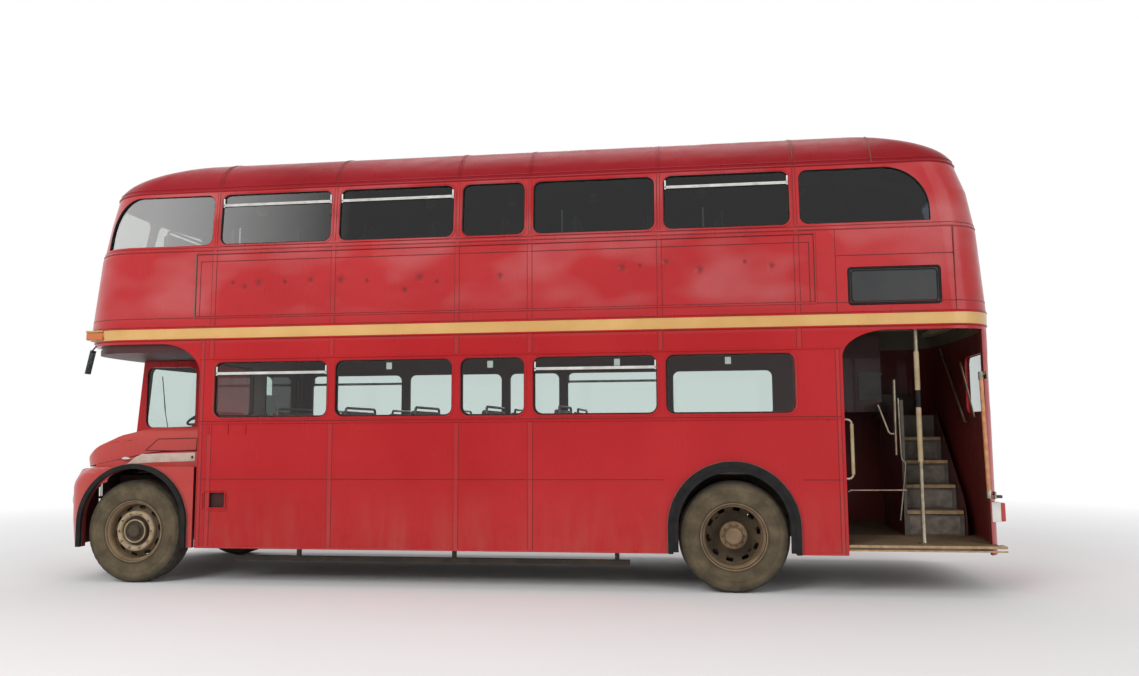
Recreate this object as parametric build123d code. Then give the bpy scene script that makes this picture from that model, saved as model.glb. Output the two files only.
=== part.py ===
# Double decker bus with a half cab, a side bonnet and an open platform at the rear.
# Millimetres. X runs to the rear, Y to the driver's side, Z up.
# The origin lies on the ground under the middle of the bus.
import os
from math import cos, pi, sin, sqrt

from build123d import *

# Overall sizes
FRONT_OVERHANG = 862
WHEELBASE = 5842
REAR_OVERHANG = 2386
HEIGHT = 4380
SKIN_HALF = 1185  # half the width over the body panels
TRIM_OUT = 34  # how far the arch rubbers and the cab door stand out from the panels
WALL = 45  # panel, frame and lining together
GAP = 6  # clearance round a panel that opens
PANE = 6  # thickness of the window glass
PANE_DEPTH = 20  # from the outer skin to the glass
SHEET = 20  # boards and screens inside
FLOOR_THICK = 50

LENGTH = FRONT_OVERHANG + WHEELBASE + REAR_OVERHANG
FRONT_X = -LENGTH / 2
REAR_X = LENGTH / 2
FRONT_AXLE_X = FRONT_X + FRONT_OVERHANG
REAR_AXLE_X = REAR_X - REAR_OVERHANG
OVERALL_HALF = SKIN_HALF + TRIM_OUT
INNER_HALF = SKIN_HALF - WALL
PAST = 100  # cutters stand this far past what they cut
REACH = OVERALL_HALF + PAST

# Levels above the ground
SKIRT_Z = 350
PLATFORM_Z = 440
FLOOR_Z = 700
CAB_FLOOR_Z = 1070
NOSE_TOP_Z = 1130
SCREEN_BASE_Z = 1480
LOWER_SILL_Z = 1612
LOWER_HEAD_Z = 2156
CANOPY_Z = 2268
DECK_BASE_Z = 2350  # where the upper body stands on the lower one
BAND_Z = 2480  # the fullest section, at the top of the coloured band
UPPER_FLOOR_Z = 2530
EAVES_Z = HEIGHT - 480
UPPER_HEAD_Z = EAVES_Z - 38
UPPER_SILL_Z = EAVES_Z - 560
FLOOR_BASE_Z = FLOOR_Z - FLOOR_THICK
CEILING_Z = UPPER_FLOOR_Z - FLOOR_THICK

# Stations along the bus
BULKHEAD_X = FRONT_AXLE_X + 660
UPPER_FRONT_SEAM_X = FRONT_AXLE_X + 780
UPPER_REAR_SEAM_X = REAR_X - 1763
PLATFORM_X = REAR_X - 1388
REAR_CORNER_X = REAR_X - 445  # where the flat side gives way to the rear corner
REAR_POST_X = REAR_X - 148  # nearside edge of the rear wall
ROOF_FRONT_SEAM_X = FRONT_AXLE_X + 2022
ROOF_REAR_SEAM_X = REAR_X - 3018

# Plan radii of the bodywork
FRONT_BOW = 4030
REAR_BOW = 9000
FRONT_CORNER = 600
REAR_CORNER = 380
NOSE_BOW = 6000
NOSE_CORNER = 300

# Body sections from the bottom up: level, front inset, rear inset, half width
EAVES_HALF = SKIN_HALF - 58
UPPER_SECTIONS = [
    dict(z=DECK_BASE_Z, front=55, rear=8, half=SKIN_HALF),
    dict(z=BAND_Z, front=0, rear=0, half=SKIN_HALF),
    dict(z=EAVES_Z - 650, front=88, rear=58, half=SKIN_HALF - 5),
    dict(z=EAVES_Z - 570, front=112, rear=70, half=SKIN_HALF - 13),
    dict(z=EAVES_Z - 260, front=166, rear=122, half=SKIN_HALF - 35),
    dict(z=EAVES_Z, front=225, rear=215, half=EAVES_HALF),
]
NOSE_SECTIONS = [
    dict(z=SKIRT_Z, front=45, rear=0, half=SKIN_HALF),
    dict(z=600, front=15, rear=0, half=SKIN_HALF),
    dict(z=NOSE_TOP_Z, front=0, rear=0, half=SKIN_HALF),
    dict(z=SCREEN_BASE_Z, front=135, rear=0, half=SKIN_HALF),
    dict(z=CANOPY_Z, front=200, rear=0, half=SKIN_HALF),
]
REAR_INSET = 8  # the lower rear wall stands this far inside the band above it

# Roof: a flat crown arc with a tighter shoulder arc each side, rising from both ends
CROWN_R = 2650
SHOULDER_R = 482
SHOULDER_SPREAD = 9.5  # the shoulders' fullest width, past the eaves
SHOULDER_Y = (EAVES_HALF + SHOULDER_SPREAD - SHOULDER_R) / (1 - SHOULDER_R / CROWN_R)
CROWN_ABOVE = 2  # the arcs' apex above the flat ridge
DOME_LENGTH = 1900
ROOF_SHARES = [0, 0.125, 0.27, 0.415, 0.54, 0.645, 0.74, 0.833, 0.917, 0.97, 1]  # of the rise
CORNER_SHARE = 0.75  # a dome corner is never rounder than this share of its half width

# Side windows: a glass and a pillar make one bay, and the third bay is short
WINDOW_GAP = 83
WINDOW_R = 80
SHORT_WINDOW_W = 617
FIRST_WINDOW_X = FRONT_AXLE_X + 820
LAST_WINDOW_X = UPPER_REAR_SEAM_X - 48
WINDOW_W = (LAST_WINDOW_X - FIRST_WINDOW_X - SHORT_WINDOW_W - 4 * WINDOW_GAP) / 4
BAY_WIDTHS = [WINDOW_W, WINDOW_W, SHORT_WINDOW_W, WINDOW_W, WINDOW_W]

# Wheels
TYRE_R = 500
TYRE_W = 260
TWIN_W = 250
RIM_R = 285
RIM_THICK = 20
RIM_INNER_R = 262
HUB_Z = TYRE_R
FRONT_TRACK_HALF = SKIN_HALF - 155
KINGPIN_Y = FRONT_TRACK_HALF - 90
TWIN_OUTER_Y = SKIN_HALF - 150
TWIN_INNER_Y = TWIN_OUTER_Y - TWIN_W - 40
ARCH_Z = HUB_Z + 85  # level of both arches' centres
FRONT_ARCH_R = TYRE_R + 30
REAR_ARCH_R = TYRE_R + 45
RUBBER_W = 45


# Shapes shared by all the pieces
def box(x0, x1, y0, y1, z0, z1):
    centre = Pos((x0 + x1) / 2, (y0 + y1) / 2, (z0 + z1) / 2)
    return centre * Box(abs(x1 - x0), abs(y1 - y0), abs(z1 - z0))


def both(y0, y1):
    """The same span of Y on the nearside and on the driver's side."""
    return ((-y1, -y0), (y0, y1))


def side_prism(sketch, y0, y1):
    """A sketch drawn in X and Z, pushed from y0 to y1."""
    low, high = sorted((y0, y1))
    plane = Plane(origin=(0, low, 0), x_dir=(1, 0, 0), z_dir=(0, -1, 0))
    return extrude(plane * sketch, amount=low - high)


def end_prism(sketch, x0, x1):
    """A sketch drawn in Y and Z, pushed from x0 to x1."""
    plane = Plane(origin=(x0, 0, 0), x_dir=(0, 1, 0), z_dir=(1, 0, 0))
    return extrude(plane * sketch, amount=x1 - x0)


def rod(start, end, radius):
    """A round bar between two points."""
    line = Line(start, end)
    return extrude(Plane(origin=line @ 0, z_dir=line % 0) * Circle(radius), amount=line.length)


def cross_rod(x, z, y0, y1, radius):
    return rod((x, y0, z), (x, y1, z), radius)


def rounded(x0, x1, z0, z1, radius):
    size = RectangleRounded(x1 - x0, z1 - z0, radius)
    return Pos((x0 + x1) / 2, (z0 + z1) / 2) * size


def outline(z, x_front, x_rear, half, bow_front, r_front, bow_rear, r_rear):
    """Plan outline of the body: a bowed end, round corners and straight sides."""
    ends = []
    for x_end, way, bow, r in ((x_front, 1, bow_front, r_front), (x_rear, -1, bow_rear, r_rear)):
        corner_y = half - r
        reach = sqrt((bow - r) ** 2 - corner_y**2)
        corner_x = x_end + way * (bow - reach)
        out_x = -way * reach / (bow - r)
        out_y = corner_y / (bow - r)
        middle = sqrt(out_x**2 + (out_y + 1) ** 2)
        bow_end = (corner_x + r * out_x, corner_y + r * out_y)
        corner_mid = (corner_x + r * out_x / middle, corner_y + r * (out_y + 1) / middle)
        ends.append(dict(tip=(x_end, 0), bow=bow_end, mid=corner_mid, side=(corner_x, half)))
    front, rear = ends

    def near(point):
        return (point[0], -point[1])

    edges = [
        ThreePointArc(near(front["bow"]), front["tip"], front["bow"]),
        ThreePointArc(front["bow"], front["mid"], front["side"]),
        Line(front["side"], rear["side"]),
        ThreePointArc(rear["side"], rear["mid"], rear["bow"]),
        ThreePointArc(rear["bow"], rear["tip"], near(rear["bow"])),
        ThreePointArc(near(rear["bow"]), near(rear["mid"]), near(rear["side"])),
        Line(near(rear["side"]), near(front["side"])),
        ThreePointArc(near(front["side"]), near(front["mid"]), near(front["bow"])),
    ]
    return Pos(0, 0, z) * make_face(edges)


def body_plan(z, front, rear, half, inset, bow=FRONT_BOW, corner=FRONT_CORNER):
    """Plan of the body at one level, this far inside its outer skin."""
    return outline(
        z,
        FRONT_X + front + inset,
        REAR_X - rear - inset,
        half - inset,
        bow - inset,
        corner - inset,
        REAR_BOW - inset,
        REAR_CORNER - inset,
    )


def body_solid(sections, inset, bow=FRONT_BOW, corner=FRONT_CORNER):
    """The space within the bodywork, this far inside its outer skin."""
    return loft([body_plan(**s, inset=inset, bow=bow, corner=corner) for s in sections], ruled=True)


def body_shell(sections, outer, inner, bow=FRONT_BOW, corner=FRONT_CORNER):
    """A skin that follows the bodywork between two depths below its surface."""
    return body_solid(sections, outer, bow, corner) - body_solid(sections, inner, bow, corner)


def lower_plan(inset):
    """Plan of the lower body at the rear, this far inside its outer skin."""
    return body_plan(0, 0, REAR_INSET, SKIN_HALF, inset)


def plan_part(x0, x1, y0, y1):
    """Rectangle in plan."""
    return Pos((x0 + x1) / 2, (y0 + y1) / 2) * Rectangle(x1 - x0, y1 - y0)


def upright(plan, z0, z1):
    """A plan shape pushed up from z0 to z1."""
    return extrude(Pos(0, 0, z0) * plan, amount=z1 - z0)


def roof_half(z):
    """Half width of the roof at this level."""
    rise = CROWN_R - (HEIGHT + CROWN_ABOVE - z)
    if rise**2 + SHOULDER_Y**2 >= CROWN_R**2:
        return sqrt(CROWN_R**2 - rise**2)
    tilt = SHOULDER_Y / CROWN_R
    centre_y = SHOULDER_Y - SHOULDER_R * tilt
    centre_z = HEIGHT + CROWN_ABOVE - CROWN_R + (CROWN_R - SHOULDER_R) * sqrt(1 - tilt**2)
    return centre_y + sqrt(SHOULDER_R**2 - (z - centre_z) ** 2)


def dome_inset(z):
    """How far the roof draws in from each end above the eaves."""
    share = (z - EAVES_Z) / (HEIGHT + CROWN_ABOVE - EAVES_Z)
    return DOME_LENGTH * (1 - sqrt(1 - share**2))


def roof_solid(inset):
    """The space within the roof, this far inside and below its outer skin."""
    eaves = UPPER_SECTIONS[-1]
    faces = []
    for share in ROOF_SHARES:
        z = EAVES_Z + share * (HEIGHT - EAVES_Z)
        half = min(roof_half(z), EAVES_HALF)
        draw = dome_inset(z)
        faces.append(
            outline(
                z - inset,
                FRONT_X + eaves["front"] + draw + inset,
                REAR_X - eaves["rear"] - draw - inset,
                half - inset,
                FRONT_BOW - inset,
                min(FRONT_CORNER, CORNER_SHARE * half) - inset / 2,
                REAR_BOW - inset,
                min(REAR_CORNER, CORNER_SHARE * half) - inset / 2,
            )
        )
    return loft(faces, ruled=True)


def within(shape, x0, x1, y0=-SKIN_HALF, y1=SKIN_HALF, z0=0, z1=HEIGHT):
    return shape & box(x0, x1, y0, y1, z0, z1)


# Body shells
UPPER_OUT = body_solid(UPPER_SECTIONS, 0)
UPPER_IN = body_solid(UPPER_SECTIONS, WALL)
NOSE_OUT = body_solid(NOSE_SECTIONS, 0, NOSE_BOW, NOSE_CORNER)
NOSE_IN = body_solid(NOSE_SECTIONS, WALL, NOSE_BOW, NOSE_CORNER)
NOSE_SHELL = NOSE_OUT - NOSE_IN
NOSE_DEEP = 520  # the curved nose ends within this distance


def bays():
    """Start and end of each side window in the straight part of the body."""
    spans = []
    x = FIRST_WINDOW_X
    for width in BAY_WIDTHS:
        spans.append((x, x + width))
        x += width + WINDOW_GAP
    return spans


def bay_cutters(y0, y1, sill, head):
    return [side_prism(rounded(x0, x1, sill, head, WINDOW_R), y0, y1) for x0, x1 in bays()]


# Upper end windows of each side, with an outer corner that curves in towards the dome
SIDE_FRONT_SILL_X = FRONT_AXLE_X - 460
SIDE_FRONT_HEAD_X = FRONT_AXLE_X - 110
SIDE_REAR_SILL_X = REAR_X - 568
SIDE_REAR_HEAD_X = REAR_X - 938
END_UPRIGHT = 120  # straight part of the outer edge above the sill
END_BULGE = (90, 150)  # the curve passes this far in and this far below the head
SKIN_DEEP = 300  # window cutters reach this far in from the skin


def end_window(x_square, x_sill, x_head):
    """Side window with one square end and one end curved in towards the roof."""
    way = 1 if x_square > x_sill else -1
    edges = Polyline(
        (x_head, UPPER_HEAD_Z),
        (x_square, UPPER_HEAD_Z),
        (x_square, UPPER_SILL_Z),
        (x_sill, UPPER_SILL_Z),
        (x_sill, UPPER_SILL_Z + END_UPRIGHT),
    )
    bulge = (x_sill + way * END_BULGE[0], UPPER_HEAD_Z - END_BULGE[1])
    curve = ThreePointArc((x_sill, UPPER_SILL_Z + END_UPRIGHT), bulge, (x_head, UPPER_HEAD_Z))
    shape = make_face([*edges.edges(), curve])
    square = [v for v in shape.vertices() if abs(v.X - x_square) < 1]
    return fillet(square, WINDOW_R)


def upper_side_windows():
    pillar = WINDOW_GAP / 2
    front = end_window(UPPER_FRONT_SEAM_X - pillar, SIDE_FRONT_SILL_X, SIDE_FRONT_HEAD_X)
    rear = end_window(UPPER_REAR_SEAM_X + pillar, SIDE_REAR_SILL_X, SIDE_REAR_HEAD_X)
    cutters = []
    for y0, y1 in both(SKIN_HALF - SKIN_DEEP, REACH):
        cutters += bay_cutters(y0, y1, UPPER_SILL_Z, UPPER_HEAD_Z)
        cutters += [side_prism(shape, y0, y1) for shape in (front, rear)]
    return cutters


FRONT_WINDOW_Y = (48, SKIN_HALF - 325)
FRONT_WINDOW_R = 90


def upper_front_windows():
    cutters = []
    for y0, y1 in both(*FRONT_WINDOW_Y):
        shape = rounded(y0, y1, UPPER_SILL_Z, UPPER_HEAD_Z, FRONT_WINDOW_R)
        cutters.append(end_prism(shape, FRONT_X - PAST, FRONT_X + NOSE_DEEP))
    return cutters


# Shallow blank boxes for route blinds: one in front, one behind and one over the platform
BLIND_DEPTH = 16
BLIND_R = 30
FRONT_BLIND_Y = (-520, 520)
FRONT_BLIND_Z = (2640, 3060)
REAR_BLIND_Y = (-700, -100)
REAR_BLIND_Z = (2640, 2990)
SIDE_BLIND_X = (REAR_X - 1318, REAR_X - 503)
SIDE_BLIND_Z = (2575, 2927)


def blind_boxes():
    """Recesses in the upper body's skin, all as deep as one another."""
    inside = body_solid(UPPER_SECTIONS, BLIND_DEPTH)
    front = end_prism(rounded(*FRONT_BLIND_Y, *FRONT_BLIND_Z, BLIND_R), FRONT_X - PAST, 0)
    rear = end_prism(rounded(*REAR_BLIND_Y, *REAR_BLIND_Z, BLIND_R), 0, REAR_X + PAST)
    side = side_prism(rounded(*SIDE_BLIND_X, *SIDE_BLIND_Z, BLIND_R), -REACH, 0)
    return [cutter - inside for cutter in (front, rear, side)]


# Emergency window at the rear of the upper deck, hinged along its sill
EXIT_HALF = SKIN_HALF - 545
EXIT_SILL_Z = EAVES_Z - 600
EXIT_HEAD_Z = EAVES_Z - 10
EXIT_R = 60
EXIT_PANE_Y = (28, EXIT_HALF - 50)
EXIT_PANE_Z = (UPPER_SILL_Z, UPPER_HEAD_Z - 20)
EXIT_PANE_R = 50
EXIT_X = REAR_X - 400
EXIT_HINGE_X = REAR_X - 56.5
EXIT_HINGE_Z = EXIT_SILL_Z - 4
EXIT_HINGE_Y = (-420, 0, 420)  # middle of each hinge
HINGE_R = 7
LEAF_THICK = 12
KNUCKLE_W = 44


def exit_block(margin):
    half = EXIT_HALF + margin
    shape = rounded(-half, half, EXIT_SILL_Z - margin, EXIT_HEAD_Z + margin, EXIT_R)
    return end_prism(shape, EXIT_X, REAR_X + PAST)


def exit_hinges(way):
    """Barrel and leaf of each hinge: way 1 is the window's half, -1 the body's."""
    x = EXIT_HINGE_X
    parts = []
    for middle in EXIT_HINGE_Y:
        y0, y1 = sorted((middle + way, middle + way * KNUCKLE_W))
        z_near = EXIT_HINGE_Z + way * LEAF_THICK
        z_far = EXIT_HINGE_Z + way * 4 * LEAF_THICK
        leaf = box(x - 3 * LEAF_THICK, x + HINGE_R, y0, y1, *sorted((z_near, z_far)))
        neck = box(x - HINGE_R / 2, x + HINGE_R, y0, y1, *sorted((EXIT_HINGE_Z, z_near)))
        parts.append(leaf + neck + cross_rod(x, EXIT_HINGE_Z, y0, y1, HINGE_R))
    return parts


def make_upper_body():
    ring = UPPER_OUT - UPPER_IN
    for cutter in upper_side_windows() + upper_front_windows() + blind_boxes():
        ring -= cutter
    exit_panel = ring & exit_block(-GAP)
    for y0, y1 in both(*EXIT_PANE_Y):
        exit_panel -= end_prism(rounded(y0, y1, *EXIT_PANE_Z, EXIT_PANE_R), EXIT_X, REAR_X + PAST)
    for part in exit_hinges(1):
        exit_panel += part
    rear = within(ring - exit_block(0), UPPER_REAR_SEAM_X, REAR_X)
    for part in exit_hinges(-1):
        rear += part
    return dict(
        upper_front=within(ring, FRONT_X, UPPER_FRONT_SEAM_X),
        upper_side_near=within(ring, UPPER_FRONT_SEAM_X, UPPER_REAR_SEAM_X, -SKIN_HALF, 0),
        upper_side_off=within(ring, UPPER_FRONT_SEAM_X, UPPER_REAR_SEAM_X, 0, SKIN_HALF),
        upper_rear=rear,
        emergency_window=exit_panel,
    )


def make_roof():
    shell = within(roof_solid(0) - roof_solid(WALL), FRONT_X, REAR_X, z0=EAVES_Z)
    return dict(
        roof_front=within(shell, FRONT_X, ROOF_FRONT_SEAM_X),
        roof_centre=within(shell, ROOF_FRONT_SEAM_X, ROOF_REAR_SEAM_X),
        roof_rear=within(shell, ROOF_REAR_SEAM_X, REAR_X),
    )


# Lower sides
CANOPY_BRACKET_X = BULKHEAD_X - 438  # how far the bracket under the canopy reaches
CANOPY_BRACKET_Z = 2040
DOOR_BRACKET_X = PLATFORM_X + 420
DOOR_BRACKET_Z = 2110
STEP_X = (BULKHEAD_X + 100, BULKHEAD_X + 297)  # foot recess behind the front wheel
STEP_Z = (740, 885)
STEP_DEPTH = 30
STEP_R = 20


def arch_hole(x, radius):
    shape = Pos(x, ARCH_Z) * Circle(radius)
    shape += Pos(x, ARCH_Z - radius / 2) * Rectangle(2 * radius, radius)
    return shape


def bracket(x_post, x_tip, z_foot):
    """Web with an elliptical edge in the corner between a post and the deck above it."""
    width = abs(x_tip - x_post)
    height = DECK_BASE_Z - z_foot
    web = Pos((x_post + x_tip) / 2, z_foot + height / 2) * Rectangle(width, height)
    return web - Pos(x_tip, z_foot) * Ellipse(width, height)


def side_sheet(x_end):
    """Lower side as seen square on, from the bulkhead back to x_end."""
    height = DECK_BASE_Z - SKIRT_Z
    middle = Pos((BULKHEAD_X + x_end) / 2, SKIRT_Z + height / 2)
    sheet = middle * Rectangle(x_end - BULKHEAD_X, height)
    return sheet - arch_hole(REAR_AXLE_X, REAR_ARCH_R)


def make_lower_sides():
    near_sheet = side_sheet(PLATFORM_X)
    near_sheet += bracket(BULKHEAD_X, CANOPY_BRACKET_X, CANOPY_BRACKET_Z)
    near_sheet += bracket(PLATFORM_X, DOOR_BRACKET_X, DOOR_BRACKET_Z)
    near = side_prism(near_sheet, -SKIN_HALF, -INNER_HALF)
    near -= side_prism(rounded(*STEP_X, *STEP_Z, STEP_R), -REACH, -SKIN_HALF + STEP_DEPTH)
    off = side_prism(side_sheet(REAR_CORNER_X), INNER_HALF, SKIN_HALF)
    for cutter in bay_cutters(-REACH, REACH, LOWER_SILL_Z, LOWER_HEAD_Z):
        near -= cutter
        off -= cutter
    return dict(lower_side_near=near, lower_side_off=off)


BULKHEAD_WINDOW_Y = (150, INNER_HALF - 100)
BULKHEAD_WINDOW_Z = (LOWER_SILL_Z + 30, LOWER_HEAD_Z)
BULKHEAD_BASE_Z = 500
SHAFT_HOLE_Y = (-420, -30)
SHAFT_HOLE_TOP_Z = 640


def bulkhead_windows(x0, x1):
    shapes = [rounded(y0, y1, *BULKHEAD_WINDOW_Z, WINDOW_R) for y0, y1 in both(*BULKHEAD_WINDOW_Y)]
    return [end_prism(shape, x0, x1) for shape in shapes]


def make_front_bulkhead():
    x1 = BULKHEAD_X + WALL
    wall = box(BULKHEAD_X, x1, -INNER_HALF, INNER_HALF, BULKHEAD_BASE_Z, CEILING_Z)
    for cutter in bulkhead_windows(BULKHEAD_X - PAST, x1 + PAST):
        wall -= cutter
    return wall - box(BULKHEAD_X - PAST, x1 + PAST, *SHAFT_HOLE_Y, SKIRT_Z, SHAFT_HOLE_TOP_Z)


REAR_WINDOW_Y = (-SKIN_HALF + 225, -170)


def rear_window():
    shape = rounded(*REAR_WINDOW_Y, LOWER_SILL_Z, LOWER_HEAD_Z, WINDOW_R)
    return end_prism(shape, REAR_CORNER_X, REAR_X + PAST)


def rear_wall_plan(outer, inner):
    """Plan of the rear wall or its glass, open at the nearside corner for the platform."""
    ring = lower_plan(outer) - lower_plan(inner)
    ring -= plan_part(FRONT_X, REAR_CORNER_X, -SKIN_HALF, SKIN_HALF)
    return ring - plan_part(FRONT_X, REAR_POST_X, -SKIN_HALF, 0)


def make_lower_rear():
    return upright(rear_wall_plan(0, WALL), SKIRT_Z, DECK_BASE_Z) - rear_window()


# Cab
CAB_WALL_Y = (-50, -5)
SCREEN_Y = (70, INNER_HALF - 100)
SCREEN_Z = (1520, 2200)
CAB_SIDE_WINDOW_X = (FRONT_AXLE_X - 620, FRONT_AXLE_X - 30)
DOORWAY_X = (FRONT_AXLE_X - 290, FRONT_AXLE_X + 330)
DOORWAY_Z = (1200, SCREEN_Z[1])
DOOR_LAP = 20
DOOR_RAIL = 60  # width of the door's frame beside its window
DOOR_HEAD = 40  # and above it
CAB_BOARD = 40
CAB_POST_W = 60


def cab_screen():
    return end_prism(rounded(*SCREEN_Y, *SCREEN_Z, WINDOW_R), FRONT_X - PAST, FRONT_X + NOSE_DEEP)


def cab_side_window(y0, y1):
    return side_prism(rounded(*CAB_SIDE_WINDOW_X, *SCREEN_Z, WINDOW_R), y0, y1)


def make_cab():
    wall_outer, wall_inner = CAB_WALL_Y
    base = CAB_FLOOR_Z - CAB_BOARD
    shell = within(NOSE_SHELL, FRONT_X, BULKHEAD_X, wall_outer, SKIN_HALF)
    shell += box(BULKHEAD_X - CAB_POST_W, BULKHEAD_X, INNER_HALF, SKIN_HALF, CANOPY_Z, DECK_BASE_Z)
    shell += within(NOSE_IN, FRONT_X, BULKHEAD_X, *CAB_WALL_Y, base, CANOPY_Z)
    shell += within(NOSE_IN, FRONT_X, BULKHEAD_X, wall_inner, INNER_HALF, base, CAB_FLOOR_Z)
    for part in bonnet_hinges(-1):
        shell += part
    shell -= cab_screen()
    shell -= cab_side_window(wall_outer - WALL, wall_inner + WALL)
    shell -= side_prism(rounded(*DOORWAY_X, *DOORWAY_Z, WINDOW_R), INNER_HALF - WALL, REACH)
    return shell - side_prism(arch_hole(FRONT_AXLE_X, FRONT_ARCH_R), SKIN_HALF - SKIN_DEEP, REACH)


def make_cab_door():
    x0, x1 = DOORWAY_X
    z0, z1 = DOORWAY_Z
    leaf = rounded(x0 - DOOR_LAP, x1 + DOOR_LAP, z0 - DOOR_LAP, z1 + DOOR_LAP, WINDOW_R)
    leaf -= rounded(x0 + DOOR_RAIL, x1 - DOOR_RAIL, SCREEN_Z[0], z1 - DOOR_HEAD, WINDOW_R)
    return side_prism(leaf, SKIN_HALF + GAP, OVERALL_HALF)


# Window glass, apart from the panes of the cab door and the emergency window
def make_lower_glass():
    glass_y = SKIN_HALF - PANE_DEPTH - PANE
    panes = []
    for y0, y1 in both(glass_y, glass_y + PANE):
        panes += bay_cutters(y0, y1, LOWER_SILL_Z, LOWER_HEAD_Z)
    x0 = BULKHEAD_X + WALL / 2
    panes += bulkhead_windows(x0, x0 + PANE)
    rear_pane = upright(rear_wall_plan(PANE_DEPTH, PANE_DEPTH + PANE), SKIRT_Z, DECK_BASE_Z)
    panes.append(rear_pane & rear_window())
    nose_glass = body_shell(NOSE_SECTIONS, PANE_DEPTH, PANE_DEPTH + PANE, NOSE_BOW, NOSE_CORNER)
    panes.append(nose_glass & cab_screen())
    cab_glass_y = CAB_WALL_Y[0] + PANE_DEPTH
    panes.append(cab_side_window(cab_glass_y, cab_glass_y + PANE))
    return panes


def make_upper_glass():
    glass = body_shell(UPPER_SECTIONS, PANE_DEPTH, PANE_DEPTH + PANE)
    return [glass & cutter for cutter in upper_side_windows() + upper_front_windows()]


# Floors
WHEEL_BOX_HALF = REAR_ARCH_R + 25
WHEEL_BOX_Y = TWIN_INNER_Y - 185
WHEEL_BOX_TOP_Z = ARCH_Z + 495


def make_lower_floor():
    floor = box(BULKHEAD_X + WALL, PLATFORM_X, -INNER_HALF, INNER_HALF, FLOOR_BASE_Z, FLOOR_Z)
    x0 = REAR_AXLE_X - WHEEL_BOX_HALF
    x1 = REAR_AXLE_X + WHEEL_BOX_HALF
    for way in (-1, 1):
        inner = way * WHEEL_BOX_Y
        outer = way * INNER_HALF
        floor += box(x0 - SHEET, x1 + SHEET, inner - way * SHEET, outer, FLOOR_BASE_Z, WHEEL_BOX_TOP_Z)
        floor -= box(x0, x1, inner, outer, 0, WHEEL_BOX_TOP_Z - SHEET)
    riser_base = PLATFORM_Z - FLOOR_THICK
    return floor + box(PLATFORM_X - SHEET, PLATFORM_X, -INNER_HALF, INNER_HALF, riser_base, FLOOR_Z)


def make_platform():
    plan = lower_plan(0) - plan_part(FRONT_X, PLATFORM_X, -SKIN_HALF, SKIN_HALF)
    plan -= plan_part(PLATFORM_X, REAR_CORNER_X, INNER_HALF, SKIN_HALF)
    return upright(plan - rear_wall_plan(0, WALL), PLATFORM_Z - FLOOR_THICK, PLATFORM_Z)


# Stairs: a flight to the driver's side, two winders, then a flight forwards
STAIR_X = (REAR_X - 708, REAR_X - 178)
STAIR_Y = -350
STAIR_STEPS = 9
FIRST_FLIGHT = 4
LAST_FLIGHT = 2
STAIR_GOING = 240
STAIR_TURN_Y = STAIR_Y + FIRST_FLIGHT * STAIR_GOING
STAIR_WALL_Y = INNER_HALF - 5
TREAD = 30
WELL_Y = 230
WINDER_CUT = 190  # the winders' outer corner is cut off, clear of the body's round corner
STRING_RISES = 5.6  # the side panel is this many risers high


def make_staircase():
    rise = (UPPER_FLOOR_Z - PLATFORM_Z) / STAIR_STEPS
    x0, x1 = STAIR_X
    level = PLATFORM_Z
    turn = STAIR_TURN_Y
    stairs = box(x0 - SHEET, x0 + SHEET / 2, STAIR_Y, turn + TREAD, level, level + rise * STRING_RISES)
    for i in range(FIRST_FLIGHT):
        y = STAIR_Y + i * STAIR_GOING
        stairs += box(x0, x1, y, y + STAIR_GOING + TREAD, level + rise - TREAD, level + rise)
        stairs += box(x0, x1, y, y + TREAD, level, level + rise)
        level += rise
    middle = (x1 - WINDER_CUT / 2, STAIR_WALL_Y - WINDER_CUT / 2)
    winders = (
        ((x0, turn), (x1, turn), (x1, STAIR_WALL_Y - WINDER_CUT), middle),
        ((x0, turn), middle, (x1 - WINDER_CUT, STAIR_WALL_Y), (x0, STAIR_WALL_Y)),
    )
    for corners in winders:
        plan = make_face(Polyline(*corners, close=True))
        stairs += upright(plan, level - TREAD, level + rise)
        level += rise
    for i in range(LAST_FLIGHT):
        x = x0 - i * STAIR_GOING
        stairs += box(x - STAIR_GOING, x, turn, STAIR_WALL_Y, level + rise - TREAD, level + rise)
        stairs += box(x - TREAD, x, turn, STAIR_WALL_Y, level - TREAD, level + rise)
        level += rise
    x = x0 - LAST_FLIGHT * STAIR_GOING
    return stairs + box(x - TREAD, x, turn, STAIR_WALL_Y, level - TREAD, UPPER_FLOOR_Z)


# Upper floor, which runs forwards over the bonnet as a hollow canopy
CANOPY_RIM = 140  # solid edge round the canopy's hollow
CANOPY_HOLLOW_X = (BULKHEAD_X - 1400, BULKHEAD_X - 40)
WELL_CLEAR = 20


def make_upper_floor():
    floor = within(UPPER_IN, FRONT_X, REAR_X, z0=CEILING_Z, z1=UPPER_FLOOR_Z)
    well_x = STAIR_X[0] - LAST_FLIGHT * STAIR_GOING - TREAD
    floor -= box(well_x, STAIR_X[1] + WELL_CLEAR, WELL_Y, INNER_HALF + 1, 0, HEIGHT)
    base = {**UPPER_SECTIONS[0], "z": 0}
    canopy = within(upright(body_plan(**base, inset=WALL), CANOPY_Z, DECK_BASE_Z), FRONT_X, BULKHEAD_X)
    canopy += within(UPPER_IN, FRONT_X, BULKHEAD_X, z0=DECK_BASE_Z, z1=CEILING_Z)
    half = INNER_HALF - CANOPY_RIM
    return floor + canopy - box(*CANOPY_HOLLOW_X, -half, half, CANOPY_Z + FLOOR_THICK, CEILING_Z)


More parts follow.
